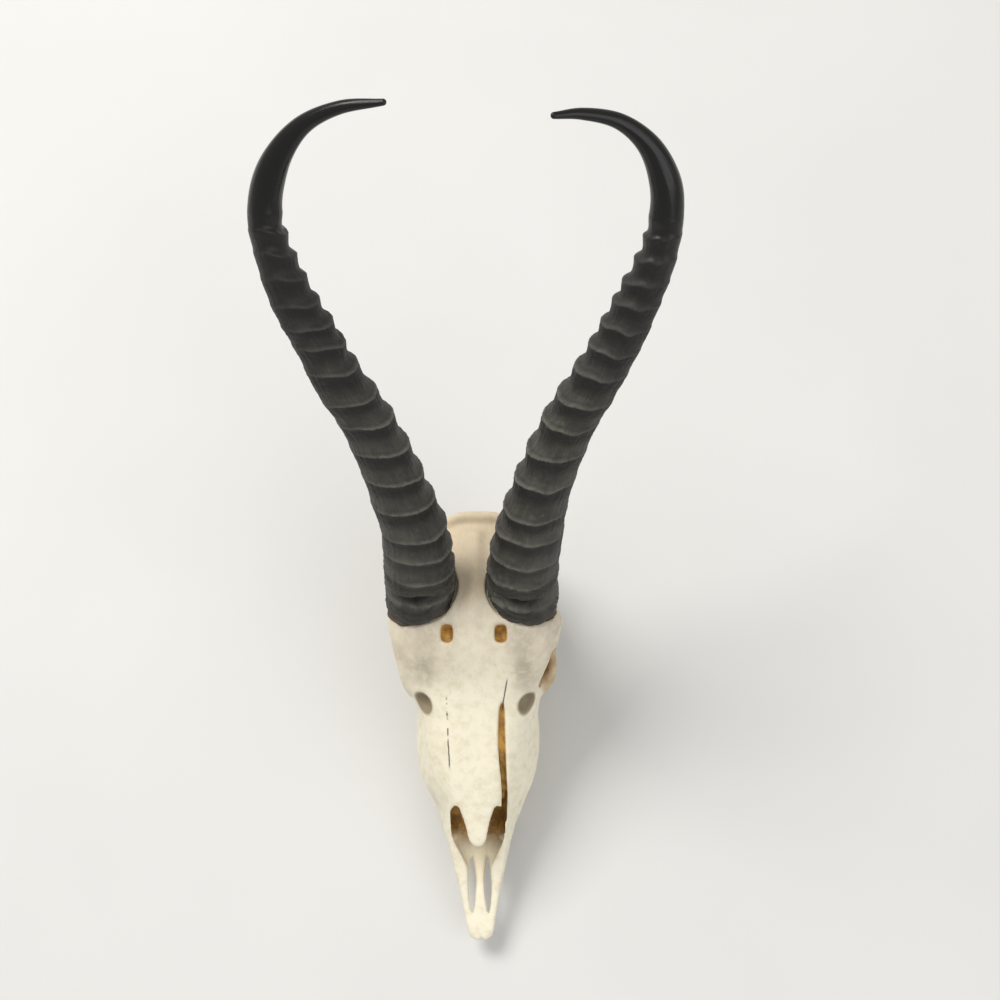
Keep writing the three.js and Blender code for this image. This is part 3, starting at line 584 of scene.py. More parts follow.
def cranium_fields():
    """Distances of the bone, of its form before it was hollowed, and of its hollows."""
    bone = np.full([len(axis) for axis in AXES], FAR)
    slices, shell = loft(SKULL_STATIONS)
    bone[slices] = shell
    for horn in HORNS.values():
        add(bone, *horn_seat(horn, -1.2, -22, 6), 6.0)
    outer = bone.copy()
    hollows = np.full_like(bone, FAR)

    def hollow(slices, shape, k):
        cut(bone, slices, shape, k)
        hollows[slices] = np.minimum(hollows[slices], shape)

    hollow(*loft(NASAL_CAVITY_STATIONS), 1.0)
    cut(bone, *nose_opening(), 0.8)
    add(bone, *loft(nasal_tip_stations()), 0.5)
    add(bone, *bar(NUCHAL_CREST, flat=0.8, squash=(0, 1, 0)), 5.0)
    add(bone, *bar(MIDLINE_RIDGE), 6.0)
    for side in SIDES.values():
        add(bone, *tooth_ridge(side), 3.0)
        add(bone, *ellipsoid(*on_side(OCCIPITAL_CONDYLE, side), pitch=-0.3), 3.0)
        add(bone, *ellipsoid(*on_side(JAW_JOINT, side)), 3.0)
        add(bone, *ellipsoid(*on_side(EAR_BULLA, side)), 1.6)
        add(bone, *bar(mirrored(PAROCCIPITAL_PROCESS, side), flat=0.8), 3.0)
        add(bone, *bar(mirrored(PTERYGOID_PLATE, side), flat=0.4), 2.0)
        add(bone, *bar(mirrored(TEMPORAL_LINE, side)), 4.0)
    hollow(*ellipsoid(*PALATE_VAULT), 2.5)
    hollow(*ellipsoid(*CHOANA), 1.5)
    hollow(*ellipsoid(*BRAIN_CAVITY), 1.0)
    hollow(*ellipsoid(*FORAMEN_MAGNUM), 1.2)
    for side in SIDES.values():
        cut(bone, *palatal_slit(side), 1.0)
        hollow(*ellipsoid(*on_side(ORBIT, side)), 1.2)
        hollow(*ellipsoid(*on_side(BEHIND_ORBIT, side)), 2.0)
        hollow(*rounded_box(*on_side(BROW_FORAMEN, side)), 0.8)
        hollow(*bar(mirrored(BROW_GROOVE, side)), 1.5)
        cut(bone, *ellipsoid(*on_side(LACRIMAL_PIT, side)), 2.0)
        hollow(*ellipsoid(*on_side(CHEEK_FORAMEN, side)), 1.0)
    hollow(*bar(NASAL_FISSURE, flat=0.26), 0.4)
    add(bone, *bar(TURBINATE), 1.0)
    cut(bone, *ellipsoid(*TIP_NOTCH), 1.5)
    cut(bone, *bar(BROW_EDGE_CUT), 0.8)
    for lip_and_highlight in ORBIT_LIPS.values():
        add(bone, *bar(lip_and_highlight), 1.5)
    for side in SIDES.values():
        add(bone, *bar(mirrored(ZYGOMATIC_ARCH, side), flat=0.72), 2.5)
        add(bone, *bar(mirrored(POSTORBITAL_BAR, side), flat=0.8), 2.5)
    for horn in HORNS.values():
        cut(bone, *horn_seat(horn, HORN_ROOM, -0.3, 40), 0.3)
    for side_name in SIDES:
        for name, length, width, _ in CHEEK_TEETH:
            cut(bone, *tooth_socket(name, length, width, side_name), 0.3)
    return blurred(bone), outer, hollows


def on_side(form, side):
    (x, y, z), radii = form
    return (side * x, y, z), radii


def blurred(field):
    for k in range(3):
        padded = np.concatenate([np.take(field, [0], k), field, np.take(field, [-1], k)], axis=k)
        n = field.shape[k]
        before, after = (np.take(padded, range(start, start + n), k) for start in (0, 2))
        field = 0.25 * before + 0.5 * field + 0.25 * after
    return field


def sample(field, points):
    """Values of the field at points, joined evenly between its voxels."""
    scaled = (points - FIELD_LOW) / VOXEL
    cell = np.clip(np.floor(scaled).astype(int), 0, np.array(field.shape) - 2)
    f = np.clip(scaled - cell, 0, 1)
    total = np.zeros(len(points))
    for corner in np.ndindex(2, 2, 2):
        weight = np.prod(np.where(np.array(corner) == 1, f, 1 - f), axis=1)
        total += weight * field[tuple((cell + corner).T)]
    return total


def gradient(field, points):
    step = 0.6
    return unit(np.stack([
        sample(field, points + offset) - sample(field, points - offset)
        for offset in step * np.eye(3)
    ], axis=1))


# Meshes


def new_piece(name, points, faces, material):
    """A smooth piece with its place in its mesh, which rides on the skull."""
    mesh = bpy.data.meshes.new(name)
    mesh.from_pydata(points.tolist(), [], faces)
    mesh.materials.append(material)
    mesh.shade_smooth()
    piece = bpy.data.objects.new(name, mesh)
    bpy.context.scene.collection.objects.link(piece)
    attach(piece, "root")
    return piece


def set_attribute(piece, name, values):
    """A number or a vector for each vertex of a piece."""
    kind = "FLOAT" if values.ndim == 1 else "FLOAT_VECTOR"
    attribute = piece.data.attributes.new(name, kind, "POINT")
    field = "value" if kind == "FLOAT" else "vector"
    attribute.data.foreach_set(field, np.ascontiguousarray(values, dtype=np.float32).ravel())


CRANIUM_TRIANGLES = 196000


def field_mesh(field):
    """Points in millimetres and four-sided faces of the field's surface."""
    grid = openvdb.FloatGrid(FAR)
    grid.copyFromArray(field.astype(np.float32))
    points, quads = grid.convertToQuads(isovalue=0.0)
    return points * VOXEL + FIELD_LOW, quads


def thinned(points, faces, triangles):
    """The same surface with at most that many triangles."""
    mesh = bpy.data.meshes.new("thinned")
    mesh.from_pydata(points.tolist(), [], faces.tolist())
    scratch = bpy.data.objects.new("thinned", mesh)
    bpy.context.scene.collection.objects.link(scratch)
    modifier = scratch.modifiers.new("thin", "DECIMATE")
    modifier.ratio = min(1.0, triangles / (2 * len(faces)))
    evaluated = scratch.evaluated_get(bpy.context.evaluated_depsgraph_get()).to_mesh()
    co = np.empty(len(evaluated.vertices) * 3)
    evaluated.vertices.foreach_get("co", co)
    thin_faces = [tuple(p.vertices) for p in evaluated.polygons]
    scratch.to_mesh_clear()
    bpy.data.objects.remove(scratch)
    bpy.data.meshes.remove(mesh)
    return co.reshape(-1, 3), thin_faces


NOSE_MOUTH = (44, 56)
ORBIT_EDGE = (24, 29)
BROW_FROM, BROW_TO = 104, 132
FOREHEAD_HALF_WIDTH = 13
ARCH_LOW_TOP, ARCH_HIGH_TOP = 64, 76
THIN_BONE_PLACE = ((24, 5), (124, 8))


def hollow_shares(points, outer, hollows):
    """How far points are inside the hollows, and inside the open floor of the nose."""
    x, y, _ = points.T
    depth = -sample(outer, points)
    inside = (1 - smoothstep(0.4, 1.8, sample(hollows, points))) * smoothstep(0.4, 2.2, depth)
    behind_mouth = smoothstep(*NOSE_MOUTH, y)
    nose_floor = inside * (1 - behind_mouth) * smoothstep(18, 36, y)
    hollow = inside * behind_mouth * (1 - 0.5 * smoothstep(*ORBIT_EDGE, np.abs(x)))
    return hollow, nose_floor


def colour_shares(smooth, points, normal, hollow):
    """Shares of each colour of the bone, from its points before and after their fine relief."""
    x, y, z = smooth.T
    aside = np.abs(x)
    upward = smoothstep(0.1, 0.6, normal[:, 2])
    brow = smoothstep(BROW_FROM, BROW_TO, y + 6 * value_noise(points, 14, 4)) * (0.55 + 0.45 * upward)
    forehead = np.exp(-((x / FOREHEAD_HALF_WIDTH) ** 2)) * smoothstep(146, 132, y)
    arch_top = ARCH_LOW_TOP + (ARCH_HIGH_TOP - ARCH_LOW_TOP) * smoothstep(122, 130, y)
    inside_arch = smoothstep(32, 34, aside) * smoothstep(40.8, 39.2, aside) * smoothstep(0, -6, z - arch_top)
    inside_arch *= smoothstep(108, 114, y) * smoothstep(158, 150, y)
    crest = smoothstep(192, 199, y) * smoothstep(72, 66, z)
    from_pit = np.linalg.norm(np.stack([aside, y, z], axis=1) - LACRIMAL_PIT[0], axis=1)
    (thin_x, thin_width), (thin_y, thin_length) = THIN_BONE_PLACE
    thin_bone = np.exp(-((aside - thin_x) / thin_width) ** 2 - ((y - thin_y) / thin_length) ** 2)
    return {
        "thin_bone": thin_bone * upward,
        "roof": smoothstep(146, 162, y) * upward,
        # Painted shade: the lacrimal pits darkened as if in shadow.
        "pit": smoothstep(7.2, 5.4, from_pit),
        "brow": brow * (1 - 0.65 * forehead),
        "ochre": np.clip(0.8 * inside_arch + 0.8 * crest, 0, 1) * (1 - hollow),
    }


def make_cranium(material):
    bone, outer, hollows = cranium_fields()
    points, quads = field_mesh(bone)
    smooth, faces = thinned(points, quads, CRANIUM_TRIANGLES)
    normal = gradient(bone, smooth)
    hollow, nose_floor = hollow_shares(smooth, outer, hollows)
    lumps = 0.15 * value_noise(smooth, 11, 1) + 0.07 * value_noise(smooth, 4.5, 2)
    grain = 0.04 * value_noise(smooth, 1.7, 3)
    points = smooth + normal * (lumps + grain)[:, None] * (1 - 0.6 * hollow)[:, None]
    piece = new_piece("skull_bone", to_frame(swayed(points)), faces, material)
    set_attribute(piece, "hollow", hollow)
    set_attribute(piece, "nose_floor", nose_floor)
    for name, share in colour_shares(smooth, points, normal, hollow).items():
        set_attribute(piece, name, share)
    set_attribute(piece, "skull_place", smooth / 10)
    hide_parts("cranium")
    return piece


HORN_AROUND = 192
RINGED_STEP = 0.6
TIP_STEP = 1.1
TIP_ROUNDING = 8
CLEFT_DEPTH = 3.6
CLEFT_HEIGHT = 2.1
CLEFT_WIDTH = 0.75
CRINKLE_SPACING = 3.1
SECOND_LIP_AT = 1.7
LIP_HEIGHT = 0.26
HORN_SEEDS = {"left": 10, "right": 50}


def ring_relief(horn, s, theta, seed):
    """Depth of the surface below the horn's smooth form, its share of painted shade (in the grooves, just
    below the crests and in the cleft) and its share of painted highlight on the crest lips.
    """
    rng = np.random.default_rng(seed)
    radius = 15
    place = np.stack([
        radius * np.cos(theta) + 0 * s, radius * np.sin(theta) + 0 * s, s + 0 * theta,
    ], axis=-1).reshape(-1, 3)
    shape = np.broadcast_shapes(s.shape, theta.shape)

    def noise(size, stretch, k):
        return value_noise(place / (1, 1, stretch), size, seed + k).reshape(shape)

    wobbled = s + 1.1 * noise(14, 1.0, 1) + 0.35 * noise(5, 1.0, 2)
    crests = np.array([-4.0] + horn.ridges + [horn.ringed_length + 11.0])
    strength = rng.uniform(0.82, 1.15, len(crests))
    i = np.clip(np.searchsorted(crests, wobbled, side="right") - 1, 0, len(crests) - 2)
    gap = crests[i + 1] - crests[i]
    u = np.clip((wobbled - crests[i]) / gap, 0, 1)
    rising = u > RIDGE_FLOOR
    t = np.where(rising, (1 - u) / (1 - RIDGE_FLOOR), u / RIDGE_FLOOR)
    groove_and_shade = 0.5 * np.sin(0.5 * np.pi * t) + 0.5 * t * t * (3 - 2 * t)
    beyond = wobbled > horn.ringed_length
    groove_and_shade = np.where(beyond, 0, groove_and_shade)
    share = s / horn.length
    fade = along_table(RIDGE_FADE, share)
    outerness = (1 + np.cos(theta)) / 2
    backness = (1 - np.sin(theta)) / 2
    around = (1 + (RIDGE_OUTER_SHARE - 1) * outerness) * (1 - 0.25 * backness)
    from_crest = wobbled - crests[i]
    to_crest = crests[i + 1] - wobbled
    # Lips at each crest: raised in the relief, and also the mask of the painted highlight along them.
    lip_and_highlight = np.exp(-((from_crest - 0.2) / 0.55) ** 2) + np.exp(-((to_crest + 0.2) / 0.55) ** 2)
    second = np.exp(-((from_crest - SECOND_LIP_AT) / 0.5) ** 2)
    ringed = fade * around * smoothstep(horn.ringed_length + 4, horn.ringed_length - 2, s)
    depth = RIDGE_DEPTH * strength[i] * groove_and_shade * fade * around
    depth += ringed * (0.34 * second - LIP_HEIGHT * lip_and_highlight)
    near_base = smoothstep(34, 4, s)
    crinkle = np.sin(2 * np.pi * (s / CRINKLE_SPACING + 0.9 * noise(9, 1.0, 4)))
    depth += near_base * (0.65 * crinkle + 0.6 * noise(3, 1.0, 5))
    wavering = s + 1.2 * noise(7, 1.0, 8)
    from_cleft = (wavering - CLEFTS[horn.name]) / CLEFT_HEIGHT
    cleft = np.exp(-from_cleft ** 2 - ((theta - 0.5 * np.pi) / CLEFT_WIDTH) ** 2)
    depth += CLEFT_DEPTH * cleft
    striation = noise(1.1, 18.0, 6)
    depth += (0.03 + 0.17 * smoothstep(0.8, 0.3, share)) * striation
    depth += 0.16 * smoothstep(0.75, 0.4, share) * noise(2.2, 0.6, 9)
    depth += 0.12 * noise(7, 1.5, 7) * smoothstep(0.9, 0.5, share)
    # Painted shade: darkest just below each crest, lighter down towards the shelf beneath it.
    shaded = smoothstep(0.25, 0.85, u) * smoothstep(1.0, 0.96, u) * np.where(beyond, 0, 1)
    # Painted shade also in the deep part of each groove, in the second groove under each crest and in the
    # cleft at the base.
    painted_shade = np.maximum(np.clip((0.3 * groove_and_shade + 0.8 * shaded) * np.minimum(fade, 1), 0, 1), cleft)
    return depth, np.maximum(painted_shade, 0.6 * second * ringed), np.clip(lip_and_highlight * ringed, 0, 1)


def make_horn(name, material):
    horn = HORNS[name]
    ringed = np.arange(0, horn.ringed_length, RINGED_STEP)
    tip_steps = int((horn.length - horn.ringed_length) / TIP_STEP)
    smooth_tip = np.linspace(horn.ringed_length, horn.length, tip_steps)
    s = np.concatenate([ringed, smooth_tip])
    theta = np.arange(HORN_AROUND) * 2 * np.pi / HORN_AROUND
    depth, groove_and_shade, lip_and_highlight = ring_relief(horn, s[:, None], theta[None, :], HORN_SEEDS[name])
    centre, along, outward, forward = horn.at(s)
    half_width, half_depth = (v[:, None] for v in horn.half_sizes(s))
    depth = np.minimum(depth, 0.5 * half_width)
    share = (s / horn.length)[:, None]
    x = (half_width - depth) * np.cos(theta)
    y = (half_depth - depth) * np.sin(theta)
    fade = along_table(RIDGE_FADE, share)
    rise = RIDGE_SLANT * fade * np.minimum(share / RIDGE_SLANT_FROM, 1)
    seat = HORN_SEAT_TILT * np.maximum(0, 1 - s[:, None] / HORN_SEAT_FADE)
    front_rise = FRONT_RISE[name] * np.exp(-((theta - 0.5 * np.pi) / 1.1) ** 2)
    front_notch = FRONT_NOTCH[name] * np.exp(-((theta - 0.5 * np.pi) / 0.35) ** 2)
    lift = rise * (x + half_width) - seat * x
    lift = lift + (front_rise - front_notch) * fade * smoothstep(0, 14, s)[:, None]
    points = (
        centre[:, None] + outward[:, None] * x[..., None] + forward[:, None] * y[..., None]
        + along[:, None] * lift[..., None]
    )
    rows = [points]
    last_centre, last_rim = centre[-1] + along[-1] * lift[-1].mean(), points[-1]
    for k in range(1, TIP_ROUNDING):
        angle = 0.5 * np.pi * k / TIP_ROUNDING
        bulge = along[-1] * half_width[-1] * math.sin(angle)
        rows.append((last_centre + (last_rim - last_centre) * math.cos(angle) + bulge)[None])
    tip = last_centre + along[-1] * half_width[-1]
    grid = np.concatenate(rows)
    count = len(grid)
    flat = grid.reshape(-1, 3)
    base_centre = points[0].mean(0)
    flat = np.concatenate([flat, [base_centre, tip]])
    faces = capped_faces(count, HORN_AROUND, flip=horn.side < 0)
    piece = new_piece(f"horn_sheath_{name}", to_frame(flat), faces, material)
    extra = TIP_ROUNDING - 1
    rounding = np.full(extra * HORN_AROUND, horn.length)
    up = np.concatenate([np.repeat(s, HORN_AROUND), rounding, [0, horn.length]])
    past_rings = np.zeros(extra * HORN_AROUND + 2)
    turn = np.concatenate([np.tile(theta, count), [0, 0]])
    set_attribute(piece, "up_horn", up / horn.length)
    set_attribute(piece, "up_mm", up)
    # Masks of the painted shade in the grooves and of the painted highlight on the crest lips.
    set_attribute(piece, "groove_and_shade", np.concatenate([groove_and_shade.ravel(), past_rings]))
    set_attribute(piece, "lip_and_highlight", np.concatenate([lip_and_highlight.ravel(), past_rings]))
    cylinder = np.stack([1.5 * np.cos(turn), 1.5 * np.sin(turn), 0.1 * up], axis=1)
    set_attribute(piece, "horn_place", cylinder)
    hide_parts(f"horn_{name}")
    return piece


def grid_faces(rows, around, flip=False):
    """Four-sided faces of a grid of points that closes on itself round each row."""
    i, j = np.meshgrid(np.arange(rows - 1), np.arange(around), indexing="ij")
    n = (j + 1) % around
    corners = [i * around + j, i * around + n, (i + 1) * around + n, (i + 1) * around + j]
    faces = np.stack(corners, axis=-1).reshape(-1, 4)
    return (faces[:, ::-1] if flip else faces).tolist()


def capped_faces(rows, around, flip=False):
    """Faces of a tube of rows of points, closed at its ends by fans to the two points after them."""
    faces = grid_faces(rows, around, flip)
    low, high, last = rows * around, rows * around + 1, (rows - 1) * around
    for j in range(around):
        n = (j + 1) % around
        ends = [(low, n, j), (high, last + j, last + n)]
        faces += [f[::-1] for f in ends] if flip else ends
    return faces


# Teeth: enamel walls with ribs, and a worn face with crescents of enamel

TOOTH_AROUND = 96
WORN_RINGS = 18
WALL_ROWS = 16
ENAMEL = 0.75


def make_tooth(name, length, width, lobes, side_name, material):
    side = SIDES[side_name]
    x0, y0 = TOOTH_PLACES[name, side_name]
    turn = row_turn(y0, side)
    theta = np.arange(TOOTH_AROUND) * 2 * np.pi / TOOTH_AROUND
    across, along = np.cos(theta), np.sin(theta)
    square = (np.abs(across) ** 4 + np.abs(along) ** 4) ** -0.25
    x, y = 0.5 * width * across * square, 0.5 * length * along * square
    cheek = smoothstep(0.2, 0.6, side * across)
    if lobes == 2:
        pinch = np.exp(-((2 * y / length / 0.16) ** 2))
        x = x * (1 - 0.2 * pinch * (1 - cheek) - 0.04 * pinch)
    ribs = sum(np.exp(-((y - at * 0.5 * length) / 0.5) ** 2) for at in (-0.85, 0, 0.85))
    x = x * (0.985 - 0.05 * cheek) + side * 0.3 * cheek * ribs
    rng = np.random.default_rng(name_seed(name + side_name))
    rings = np.linspace(0, 1, WORN_RINGS + 1)[1:]
    worn_x, worn_y = rings[:, None] * x, rings[:, None] * y
    worn_z, enamel, pit = worn_face(worn_x, worn_y, rings[:, None], length, width, lobes, side)
    up = np.linspace(0, 1, WALL_ROWS + 1)[1:, None]
    wall_z = up * (ROOT_TOP_Z - 0.2) + 0 * x
    swell = 1 - 0.05 * (1 - up) ** 3 + 0.012 * rng.uniform(-1, 1, (WALL_ROWS, 1))
    wall_x, wall_y = swell * x, swell * y
    xs = np.concatenate([worn_x, wall_x])
    ys = np.concatenate([worn_y, wall_y])
    zs = np.concatenate([worn_z, wall_z])
    c, s = math.cos(turn), math.sin(turn)
    points = np.stack([x0 + c * xs - s * ys, y0 + s * xs + c * ys, zs], axis=-1).reshape(-1, 3)
    middle_place = np.zeros((1, 1))
    middle_z, _, _ = worn_face(middle_place, middle_place, middle_place, length, width, lobes, side)
    centre_z = middle_z[0, 0]
    ends = [[x0, y0, centre_z], [x0, y0, ROOT_TOP_Z - 0.2]]
    points = np.concatenate([points, ends])
    faces = capped_faces(WORN_RINGS + WALL_ROWS, TOOTH_AROUND)
    piece = new_piece(f"{name}_{side_name}_enamel", to_frame(swayed(points)), faces, material)
    walls = np.ones(WALL_ROWS * TOOTH_AROUND)
    set_attribute(piece, "enamel", np.concatenate([enamel.ravel(), walls, [0, 1]]))
    set_attribute(piece, "pit", np.concatenate([pit.ravel(), 0 * walls, [0, 0]]))
    set_attribute(piece, "height", points[:, 2])
    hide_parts(f"{name}_{side_name}")
    return piece


def name_seed(name):
    """A whole number of its own for each name."""
    return sum((k + 1) * ord(letter) for k, letter in enumerate(name))


def worn_face(x, y, ring, length, width, lobes, side):
    """Height of the worn face above the floor, where it is enamel, and where it is a pit."""
    pit_distance = np.full(np.broadcast_shapes(x.shape, y.shape), 9.0)
    for k in range(lobes):
        middle_y = (k - 0.5 * (lobes - 1)) * length / lobes
        bend = 0.42 * length / lobes
        out = side * x + 0.75 * bend
        arc = np.abs(np.hypot(out, y - middle_y) - 0.95 * bend)
        beside = np.maximum(np.abs(y - middle_y) - 0.32 * length / lobes, 0)
        pit_distance = np.minimum(pit_distance, np.hypot(arc, beside) + 9.0 * (out < 0))
    pit = smoothstep(0.5, 0.2, pit_distance)
    rim = np.exp(-((pit_distance - 0.85) / 0.35) ** 2)
    edge = smoothstep(1 - 2 * ENAMEL / width, 1 - ENAMEL / width, ring)
    enamel = np.clip(rim + edge, 0, 1)
    height = 0.55 - 0.5 * enamel + 1.3 * pit
    return height, enamel, pit


# Materials


class Material:
    """A node material with short calls for the nodes that this script needs."""

    def __init__(self, name):
        self.data = bpy.data.materials.new(name)
        self.data.use_nodes = True
        self.tree = self.data.node_tree
        self.shader = self.tree.nodes["Principled BSDF"]

    def node(self, kind, inputs, output=0, **settings):
        made = self.tree.nodes.new(kind)
        for key, value in settings.items():
            setattr(made, key, value)
        for key, value in inputs.items():
            self.put(made.inputs[key], value)
        return made.outputs[output]

    def put(self, socket, value):
        if isinstance(value, bpy.types.NodeSocket):
            self.tree.links.new(value, socket)
        else:
            socket.default_value = value

    def number(self, name):
        return self.node("ShaderNodeAttribute", {}, "Fac", attribute_name=name)

    def vector(self, name):
        return self.node("ShaderNodeAttribute", {}, "Vector", attribute_name=name)

    def scaled(self, vector, factors):
        return self.node("ShaderNodeVectorMath", {0: vector, 1: factors}, operation="MULTIPLY")

    def noise(self, vector, scale, detail=4.0, roughness=0.55, distortion=0.0):
        inputs = {
            "Vector": vector, "Scale": scale, "Detail": detail,
            "Roughness": roughness, "Distortion": distortion,
        }
        return self.node("ShaderNodeTexNoise", inputs)

    def ramp(self, value, low, high, start=0.0, end=1.0):
        inputs = {"Value": value, "From Min": low, "From Max": high, "To Min": start, "To Max": end}
        return self.node("ShaderNodeMapRange", inputs, interpolation_type="SMOOTHSTEP")

    def math(self, operation, a, b):
        return self.node("ShaderNodeMath", {0: a, 1: b}, operation=operation, use_clamp=False)

    def times(self, first, *others):
        """The product of two or more values."""
        for other in others:
            first = self.math("MULTIPLY", first, other)
        return first

    def mix(self, factor, a, b):
        return self.node("ShaderNodeMix", {0: factor, 6: a, 7: b}, 2, data_type="RGBA")

    def bump(self, height, distance, strength=1.0):
        inputs = {"Height": height, "Distance": distance, "Strength": strength}
        self.put(self.shader.inputs["Normal"], self.node("ShaderNodeBump", inputs))

    def set(self, **inputs):
        for key, value in inputs.items():
            self.put(self.shader.inputs[key.replace("_", " ")], value)


NASAL_CREAM = (0.80, 0.75, 0.60, 1)
BROW_BEIGE = (0.61, 0.54, 0.425, 1)
BROW_GREY = (0.49, 0.435, 0.34, 1)
ROOF_TAN = (0.66, 0.54, 0.37, 1)
THIN_BONE = (0.38, 0.345, 0.255, 1)
# Painted shade for the lacrimal pits.
LACRIMAL_PIT_SHADE = (0.20, 0.155, 0.085, 1)
NOSE_FLOOR = (0.74, 0.65, 0.47, 1)
OCHRE = (0.42, 0.27, 0.11, 1)
AMBER = (0.62, 0.36, 0.08, 1)
HOLLOW_BROWN = (0.30, 0.16, 0.045, 1)
CRACK_BROWN = (0.06, 0.045, 0.03, 1)


def seam(m, place, x_at, y_at, lean, low, high, solid_below):
    """A thin dark seam, 0 to 1, broken into short lengths above y = solid_below; all in centimetres."""
    x, y, z = (m.node("ShaderNodeSeparateXYZ", {0: place}, k) for k in range(3))
    wander = m.times(m.noise(place, 5.0), 0.05)
    middle_x = m.math("ADD", m.times(m.math("SUBTRACT", y, y_at), lean), x_at)
    aside = m.math("ABSOLUTE", m.math("ADD", m.math("SUBTRACT", x, middle_x), wander), 0.0)
    window = m.times(m.ramp(y, low, low + 0.3), m.ramp(y, high, high - 0.3))
    gaps = m.ramp(m.noise(m.scaled(place, (0, 1, 0)), 2.6), 0.48, 0.56)
    broken = m.math("MAXIMUM", m.ramp(y, solid_below + 0.15, solid_below - 0.15), gaps)
    return m.times(m.ramp(aside, 0.05, 0.02), window, broken, m.ramp(z, 4.4, 4.8))


def bone_material():
    m = Material("dry_bone")
    place = m.vector("skull_place")
    broad = m.noise(place, 0.55, 3.0, 0.6, 0.4)
    middling = m.noise(place, 2.2, 4.0, 0.6, 0.2)
    fine = m.noise(place, 11.0, 3.0, 0.6)
    streaks = m.noise(m.scaled(place, (1, 0.16, 1)), 6.0, 3.0, 0.6)
    brow = m.number("brow")
    cream = m.mix(m.ramp(middling, 0.4, 0.75), NASAL_CREAM, (0.70, 0.64, 0.48, 1))
    beige = m.mix(m.ramp(broad, 0.36, 0.68), BROW_BEIGE, BROW_GREY)
    beige = m.mix(m.times(m.ramp(streaks, 0.45, 0.7), 0.45), beige, (0.66, 0.6, 0.48, 1))
    colour = m.mix(m.times(brow, m.ramp(middling, 0.2, 0.6, 0.75, 1.0)), cream, beige)
    tan = m.times(m.number("roof"), m.ramp(streaks, 0.35, 0.65, 0.45, 0.95))
    colour = m.mix(tan, colour, ROOF_TAN)
    thin = m.times(m.number("thin_bone"), m.ramp(middling, 0.3, 0.6, 0.35, 0.9))
    colour = m.mix(thin, colour, THIN_BONE)
    colour = m.mix(m.times(m.number("nose_floor"), 0.6), colour, NOSE_FLOOR)
    # Painted shade darkening the lacrimal pits.
    colour = m.mix(m.times(m.number("pit"), 0.9), colour, LACRIMAL_PIT_SHADE)
    stain = m.times(m.number("ochre"), m.ramp(middling, 0.25, 0.65, 0.45, 1.0))
    colour = m.mix(stain, colour, OCHRE)
    inside = m.mix(m.ramp(middling, 0.35, 0.65), AMBER, HOLLOW_BROWN)
    colour = m.mix(m.number("hollow"), colour, inside)
    specks = m.ramp(fine, 0.62, 0.75, 0.0, 0.3)
    colour = m.mix(specks, colour, (0.24, 0.18, 0.11, 1))
    right_seam = seam(m, place, -1.25, 7.98, -0.035, 7.7, 11.1, 9.1)
    left_seam = seam(m, place, 1.38, 10.6, 0.2, 10.4, 11.9, 12.0)
    colour = m.mix(m.times(m.math("MAXIMUM", right_seam, left_seam), 0.85), colour, CRACK_BROWN)
    m.put(m.shader.inputs["Base Color"], colour)
    m.set(Roughness=m.ramp(middling, 0.3, 0.7, 0.5, 0.68))
    m.shader.inputs["Specular IOR Level"].default_value = 0.4
    m.shader.inputs["Subsurface Weight"].default_value = 0.12
    m.shader.inputs["Subsurface Radius"].default_value = (0.004, 0.0025, 0.0015)
    relief = m.math("ADD", m.times(fine, 0.35), m.times(streaks, 0.65))
    m.bump(relief, 0.0003, 0.6)
    return m.data


HORN_DUSTY = (0.062, 0.061, 0.050, 1)
HORN_DARK = (0.036, 0.035, 0.029, 1)
HORN_DUST = (0.115, 0.108, 0.088, 1)
# Painted highlight on the crest lips.
HORN_LIP_HIGHLIGHT = (0.19, 0.185, 0.155, 1)
HORN_BLACK = (0.005, 0.0048, 0.0046, 1)
# Painted shade in the grooves, below the crests and in the cleft.
HORN_PAINTED_SHADE = (0.006, 0.0055, 0.0045, 1)
HORN_RIM = (0.10, 0.052, 0.032, 1)


def horn_material():
    m = Material("horn_keratin")
    place = m.vector("horn_place")
    up = m.number("up_horn")
    broad = m.noise(place, 0.8, 3.0, 0.6)
    middling = m.noise(place, 3.5, 4.0, 0.65)
    lines = m.noise(m.scaled(place, (1, 1, 0.06)), 14.0, 3.0, 0.65)
    aged = m.ramp(up, 0.78, 0.2)
    dusty = m.mix(m.ramp(broad, 0.35, 0.65), HORN_DUSTY, HORN_DARK)
    colour = m.mix(aged, HORN_BLACK, dusty)
    dust = m.times(m.ramp(middling, 0.5, 0.8, 0.0, 0.5), aged)
    colour = m.mix(dust, colour, HORN_DUST)
    worn = m.times(m.ramp(lines, 0.5, 0.72, 0.0, 0.35), aged)
    colour = m.mix(worn, colour, HORN_DUST)
    lip_and_highlight = m.times(m.number("lip_and_highlight"), m.ramp(middling, 0.3, 0.6, 0.3, 0.85))
    # Painted shade: grooves, the band below each crest and the cleft darkened nearly to black.
    colour = m.mix(m.ramp(m.number("groove_and_shade"), 0.15, 0.95, 0.0, 0.92), colour, HORN_PAINTED_SHADE)
    # Painted highlight along the crest lips of the ringed part.
    colour = m.mix(m.times(lip_and_highlight, aged), colour, HORN_LIP_HIGHLIGHT)
    rim = m.ramp(m.math("ADD", m.number("up_mm"), m.times(middling, 4.0)), 4.4, 2.4)
    colour = m.mix(m.times(rim, m.ramp(broad, 0.4, 0.55, 0.1, 0.5)), colour, HORN_RIM)
    m.put(m.shader.inputs["Base Color"], colour)
    roughness = m.math("ADD", m.ramp(up, 0.55, 0.85, 0.6, 0.2), m.ramp(middling, 0.3, 0.7, -0.05, 0.07))
    m.set(Roughness=roughness)
    m.shader.inputs["Specular IOR Level"].default_value = 0.34
    relief = m.math("ADD", m.times(lines, 0.7), m.times(middling, 0.3))
    m.bump(m.times(relief, m.ramp(up, 0.76, 0.6, 0.06, 1.0)), 0.0005, 0.8)
    return m.data


